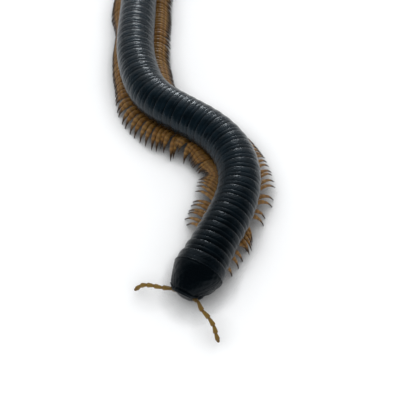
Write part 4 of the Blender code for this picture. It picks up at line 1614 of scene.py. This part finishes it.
@dataclass(frozen=True)
class Feelers:
    """Antennae of seven club-shaped articles, with four small cones at the tip.

    Args:
        frame: The neck's frame.
        routes: Course of each feeler, body diameters.
        lengths: Share of the whole length of each article, from the root.
        joint, swell: Half width at a joint and before the next one.
        least, most: Shares of these that each article has.
        tone: How pale they are.
        inner: Places of an article's loops, shares of its length.
        cone: Half width and length of a tip cone, how deep it is sunk, and its distance from the
            middle, body diameters.
        around: Points round a feeler.
    """

    frame: HeadFrame
    routes: dict[Side, tuple[Triple, ...]] = field(default_factory=lambda: {
        Side.LEFT: ((0.243, 0.18, -0.06), (0.252, 0.28, -0.06), (0.34, 0.41, -0.10),
                    (0.41, 0.61, -0.18), (0.49, 0.76, -0.27), (0.58, 0.85, -0.35),
                    (0.66, 0.95, -0.48)),
        Side.RIGHT: ((0.238, -0.17, -0.06), (0.248, -0.27, -0.06), (0.30, -0.51, -0.13),
                     (0.33, -0.76, -0.23), (0.37, -0.92, -0.33), (0.48, -1.05, -0.49))})
    lengths: tuple[float, ...] = (0.09, 0.21, 0.18, 0.17, 0.15, 0.14, 0.06)
    joint: float = 0.033
    swell: float = 0.053
    least: tuple[float, ...] = (1.0, 0.86, 0.82, 0.82, 0.84, 0.86, 0.78)
    most: tuple[float, ...] = (0.85, 1.0, 1.0, 1.0, 1.02, 0.98, 0.72)
    tone: float = 0.4
    inner: tuple[float, ...] = (0.02, 0.10, 0.22, 0.36, 0.50, 0.64, 0.76, 0.86, 0.93, 0.97, 0.995)
    cone: tuple[float, ...] = (0.0048, 0.020, 0.014, 0.0085)
    around: int = 18

    def build(self, side: Side) -> bpy.types.Object:
        """Tube on a smooth route, each article widening like a club and drawn in at the joint.

        The half width in an article is the joint's plus the swell's excess times the place in
        the article to the power of 0.8, and closes over its last tenth.

        Args:
            side: Side of the animal.

        Returns:
            The piece.
        """
        ends = np.concatenate(([0.0], np.cumsum(self.lengths)))
        inner = np.array(self.inner)
        spots = (ends[:-1, None] + np.diff(ends)[:, None] * inner).ravel()
        place = np.tile(inner, len(self.lengths))
        article = np.repeat(np.arange(len(self.lengths)), len(inner))
        rise = place ** 0.8 * (1.0 - smooth_step((place - 0.90) / 0.10))
        size = self.frame.plan.diameter
        least = self.joint * np.array(self.least)[article]
        most = self.swell * np.array(self.most)[article]
        halves = (least + (most - least) * rise) * size
        final = article == len(self.lengths) - 1
        dome = 1.05 * self.joint * size * np.sqrt(1.0 - 0.92 * place ** 4)
        halves = np.where(final, dome, halves)
        course = self.frame.world(np.array(self.routes[side]))
        centres = route(course, spots / ends[-1])
        loops = tubes(centres[None], halves, self.around)
        knee = np.maximum(bump(place, 0.06), bump(place - 1.0, 0.10)) * (article > 0) * ~final
        shape = loops.shape[:3]
        numbers = {
            "along": np.broadcast_to((spots / ends[-1])[:, None], shape),
            "knee": np.broadcast_to((0.8 * knee)[:, None], shape),
            "tone": np.full(shape, self.tone),
        }
        return Surfaces(loops, numbers).make(f"feeler_{side.word}")

    def cones(self, side: Side) -> bpy.types.Object:
        """Four sensory cones, tapered with the square root, round the tip.

        Args:
            side: Side of the animal.

        Returns:
            The piece.
        """
        course = self.frame.world(np.array(self.routes[side]))
        end = course[-1]
        run = end - route(course, np.array((0.97,)))[0]
        run = run / np.linalg.norm(run)
        across = np.cross(run, (0.0, 0.0, 1.0))
        across = across / np.linalg.norm(across)
        upward = np.cross(across, run)
        half, length, sunk, apart = np.array(self.cone) * self.frame.plan.diameter
        turn = TURN * (np.arange(4) + 0.5) / 4.0
        foot = end + apart * (np.cos(turn)[:, None] * upward + np.sin(turn)[:, None] * across)
        t = np.linspace(0.0, 1.0, 5)
        centres = foot[:, None] + (t[:, None] * length - sunk) * run
        loops = tubes(centres, half * np.sqrt(1.0 - 0.8 * t), 8)
        numbers = {label: np.full(loops.shape[:3], value)
                   for label, value in (("along", 0.9), ("knee", 0.0), ("tone", 1.0))}
        return Surfaces(loops, numbers).make(f"feeler_cones_{side.word}")


@dataclass(frozen=True)
class Head:
    """Everything in front of the first ring.

    Args:
        plan: The body plan.
    """

    plan: BodyPlan

    def build(self) -> None:
        """Build and dress the head's pieces."""
        neck = HeadFrame(self.plan)
        dress(Collum(neck).build(), BLACK, Slot.SHELL, "collum")
        dress(HeadCapsule(neck).build(), BLACK, Slot.SHELL, "head")
        mouth = Mouthparts(neck)
        dress(mouth.under_plate(), BROWN, Slot.MOUTH, "gnathochilarium")
        eyes = EyeField(neck)
        feelers = Feelers(neck)
        for side in Side:
            dress(mouth.cheek(side), BLACK, Slot.SHELL, f"mandible_{side.word}")
            dress(eyes.build(side), LENS, Slot.EYE, f"eye_{side.word}")
            dress(feelers.build(side), FEELER, Slot.LIMB, f"antenna_{side.word}")
            dress(feelers.cones(side), FEELER, Slot.LIMB, f"antenna_{side.word}")


# Tail


@dataclass(frozen=True)
class Tail:
    """Preanal ring with its blunt point, two valves and the small plate below them.

    Args:
        plan: The body plan.
        length: Length of the preanal ring, body diameters.
        shares: Places along it and its radius there as shares.
        point: How far the blunt point stands behind, and its half angle in radians.
        valve: Depth, width and height of a valve.
        valve_drop: How far below the axis the valves' middle is.
        plate: Depth, half width and height of the lower plate.
        gap: Gap between solids that meet, metres.
        crinkle: How wrinkled and glossy the cuticle is.
    """

    plan: BodyPlan
    length: float = 0.24
    shares: Pairs = (
        (-0.08, 0.985), (0.0, 0.995), (0.35, 0.99), (0.75, 0.93), (0.94, 0.875), (1.0, 0.845),
        (0.97, 0.80), (0.90, 0.76))
    point: Pair = (0.115, 0.24)
    valve: Triple = (0.20, 0.24, 0.30)
    valve_drop: float = 0.02
    plate: Triple = (0.10, 0.13, 0.05)
    gap: float = 0.3 * MM
    crinkle: float = 0.7

    def world(self, local: Array) -> Array:
        """World points of places behind the last ring, across and above the axis.

        Args:
            local: Points, body diameters, last axis of 3.

        Returns:
            Points, metres, of the same shape.
        """
        size = self.plan.diameter
        end = float(self.plan.front(self.plan.rings + 1))
        return self.plan.straight(end, end + local[..., 0] * size, local[..., 1] * size,
                                  self.plan.height(self.plan.rings) + local[..., 2] * size)

    def make(self, name: str, local: Array, groove: Array | float = 0.0) -> bpy.types.Object:
        """Black piece of one closed surface given by its local points."""
        rest = (local * self.plan.diameter)[..., [1, 0, 2]]
        return skin(name, self.world(local), rest, groove, self.crinkle)

    def ring(self) -> bpy.types.Object:
        """Round ring whose rear margin runs out into a blunt point at the top.

        Returns:
            The piece.
        """
        start = 0.988 * float(self.plan.radius(self.plan.rings)) * 0.935 / self.plan.diameter
        knots = np.arange(len(self.shares), dtype=float)
        table = monotone(knots, np.array(self.shares), np.linspace(0.0, knots[-1], 64))
        t, share = table.T[..., None]
        angle = TURN * (np.arange(128) + 0.5) / 128
        low = np.abs((angle + math.pi) % TURN - math.pi)
        out = self.point[0] * bump(low, self.point[1]) * smooth_step((t - 0.45) / 0.55)
        behind = self.length * t + out
        wrinkle = 0.003 * Ripple(41, 20, (8, 30), (0.8 * MM, 2.0 * MM)).at(
            angle, behind * self.plan.diameter)
        radius = start * (share + wrinkle + 0.05 * bump(low, 0.30) * smooth_step((t - 0.2) / 0.8))
        local = xyz(behind, radius * np.sin(angle), radius * np.cos(angle))
        return self.make("preanal_skin", local)

    def valve_skin(self, side: Side) -> bpy.types.Object:
        """Bulging valve: half an ellipsoid, flat where the two meet, with a raised margin.

        Args:
            side: Side of the animal.

        Returns:
            The piece.
        """
        depth, width, height = self.valve
        t = np.sin(np.linspace(0.0, 0.5 * math.pi, 30))[:, None] * 0.985
        share = np.sqrt(1.0 - t ** 2)
        arc = np.linspace(0.0, math.pi, 44)
        flat = np.linspace(-1.0, 1.0, 22)[1:-1]
        across = np.concatenate((np.sin(arc), np.zeros(len(flat))))
        up = np.concatenate((np.cos(arc), flat))
        gap = self.gap / self.plan.diameter
        sideways = width * share * across
        margin = bump(sideways - 0.012, 0.014)
        seam = bump(sideways - 0.045, 0.010)
        behind = self.length - 0.04 + gap + (depth + 0.04) * t * (1.0 + 0.03 * margin - 0.03 * seam)
        local = xyz(behind, side.value * (0.25 * gap + sideways),
                    0.93 * height * share * up - self.valve_drop)
        return self.make(f"valve_skin_{side.word}", local, 0.6 * seam)

    def lower_plate(self) -> bpy.types.Object:
        """Small rounded plate under the valves, narrower towards its rear.

        Returns:
            The piece.
        """
        depth, width, height = self.plate
        gap = self.gap / self.plan.diameter
        t = np.sin(np.linspace(0.0, 0.5 * math.pi, 20))[:, None]
        angle = TURN * np.arange(40) / 40
        half = width * (1.0 - 0.6 * t ** 2) * np.sqrt(1.0 - 0.96 * t ** 6)
        across = half * signed_power(np.sin(angle), 0.7)
        rise = 0.5 * height * np.sqrt(1.0 - 0.9 * t ** 6)
        middle = -self.valve[2] - self.valve_drop - gap - 0.5 * height
        up = middle + rise * signed_power(np.cos(angle), 0.7)
        local = xyz(self.length - 0.03 + gap + (depth + 0.03) * t, across, up)
        return self.make("hypoproct_plate", local)

    def build(self) -> None:
        """Build and dress the tail's pieces."""
        dress(self.ring(), BLACK, Slot.SHELL, "preanal_ring")
        for side in Side:
            dress(self.valve_skin(side), BLACK, Slot.SHELL, f"anal_valve_{side.word}")
        dress(self.lower_plate(), BLACK, Slot.SHELL, "hypoproct")


# Studio


@dataclass(frozen=True)
class Patch:
    """Part of the surroundings, a cap round a direction, as the black cuticle mirrors it.

    Args:
        way: Direction of its middle.
        start, end: Cosines of the angles from it at which the cap begins and is full.
        level: Strength of its light.
    """

    way: Triple
    start: float
    end: float
    level: float


@dataclass(frozen=True)
class Studio:
    """Pale floor, soft light from above and behind, and the photograph's camera.

    Args:
        eye: Place of the camera, metres.
        pitch: Angle below the horizon of its view, degrees.
        lens: Focal length, mm, on a sensor 36 mm wide.
        floor: Half width of the floor, metres.
        key_at: Place of the shadowless softbox, which aims at the middle of the animal.
        key_size, key_power: Width of the softbox, metres, and its power, watts.
        air: Colour of the surroundings.
        dome: Strength of the even light on all that isn't mirrored.
        level: Strength of what is mirrored outside the patches.
        patches: Dark round the photographer, bright behind the animal, and a small lamp there.
    """

    eye: Triple = (5.39 * MM, -120.7 * MM, 117.86 * MM)
    pitch: float = 58.0
    lens: float = 45.0
    floor: float = 0.9
    key_at: Triple = (0.01, 0.36, 0.38)
    key_size: float = 0.12
    key_power: float = 0.12
    air: str = "#f4f6f8"
    dome: float = 0.94
    level: float = 0.57
    patches: tuple[Patch, ...] = (
        Patch((0.0, -0.707, 0.707), 0.02, 0.56, 0.04), Patch((0.0, 0.82, 0.57), 0.62, 0.98, 1.35),
        Patch((0.0, 0.956, 0.292), 0.990, 0.992, 22.0))

    def build(self) -> None:
        """Set up floor, light, world and camera."""
        self.make_floor()
        self.make_key()
        self.make_world()
        self.make_camera()

    def make_floor(self) -> None:
        """Flat square floor at z = 0."""
        half = self.floor
        mesh = bpy.data.meshes.new("floor")
        mesh.from_pydata([(-half, -half, 0.0), (half, -half, 0.0), (half, half, 0.0),
                          (-half, half, 0.0)], [], [(0, 1, 2, 3)])
        floor = bpy.data.objects.new("floor", mesh)
        bpy.context.scene.collection.objects.link(floor)
        FLOOR.give(floor)

    def make_key(self) -> None:
        """Square softbox, which casts no shadow, so the floor's shadows, real and painted, stay
        soft.
        """
        lamp = bpy.data.lights.new("key", "AREA")
        lamp.shape = "SQUARE"
        lamp.size = self.key_size
        lamp.energy = self.key_power
        lamp.use_shadow = False
        box = bpy.data.objects.new("key", lamp)
        box.location = self.key_at
        box.rotation_euler = Vector(self.key_at).to_track_quat("Z", "Y").to_euler()
        bpy.context.scene.collection.objects.link(box)

    def make_world(self) -> None:
        """Even dome for what is lit, and patches, mixed in one by one, for what is mirrored."""
        world = bpy.data.worlds.new("studio")
        world.use_nodes = True
        tree = world.node_tree
        tree.nodes.clear()
        way = add(tree, "ShaderNodeTexCoord").outputs["Generated"]
        level: object = self.level
        for patch in self.patches:
            toward = add(tree, "ShaderNodeVectorMath", {0: way, 1: patch.way},
                         operation="DOT_PRODUCT")
            share = add(tree, "ShaderNodeMapRange", {
                "Value": toward.outputs["Value"], "From Min": patch.start, "From Max": patch.end},
                interpolation_type="SMOOTHSTEP")
            level = add(tree, "ShaderNodeMix", {0: share, 2: level, 3: patch.level},
                        data_type="FLOAT")
        mirrored = add(tree, "ShaderNodeLightPath").outputs["Is Glossy Ray"]
        level = add(tree, "ShaderNodeMix", {0: mirrored, 2: self.dome, 3: level}, data_type="FLOAT")
        back = add(tree, "ShaderNodeBackground", {"Color": linear(self.air), "Strength": level})
        add(tree, "ShaderNodeOutputWorld", {"Surface": back})
        bpy.context.scene.world = world

    def make_camera(self) -> None:
        """Camera that looks along +Y, pitched down."""
        data = bpy.data.cameras.new("camera")
        data.sensor_fit = "HORIZONTAL"
        data.sensor_width = 36.0
        data.lens = self.lens
        data.clip_start = 0.005
        data.clip_end = 10.0
        camera = bpy.data.objects.new("camera", data)
        camera.location = self.eye
        camera.rotation_euler = (math.radians(90.0 - self.pitch), 0.0, 0.0)
        bpy.context.scene.collection.objects.link(camera)
        bpy.context.scene.camera = camera
        bpy.context.scene.view_settings.view_transform = "Standard"


def write_sizes() -> None:
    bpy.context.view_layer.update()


def main() -> None:
    """Build the studio and the animal in order."""
    logging.basicConfig(level=logging.INFO, format="%(name)s %(message)s")
    plan = BodyPlan()
    Studio().build()
    Trunk(plan).build()
    Head(plan).build()
    Tail(plan).build()
    write_sizes()


if __name__ == "__main__":
    main()
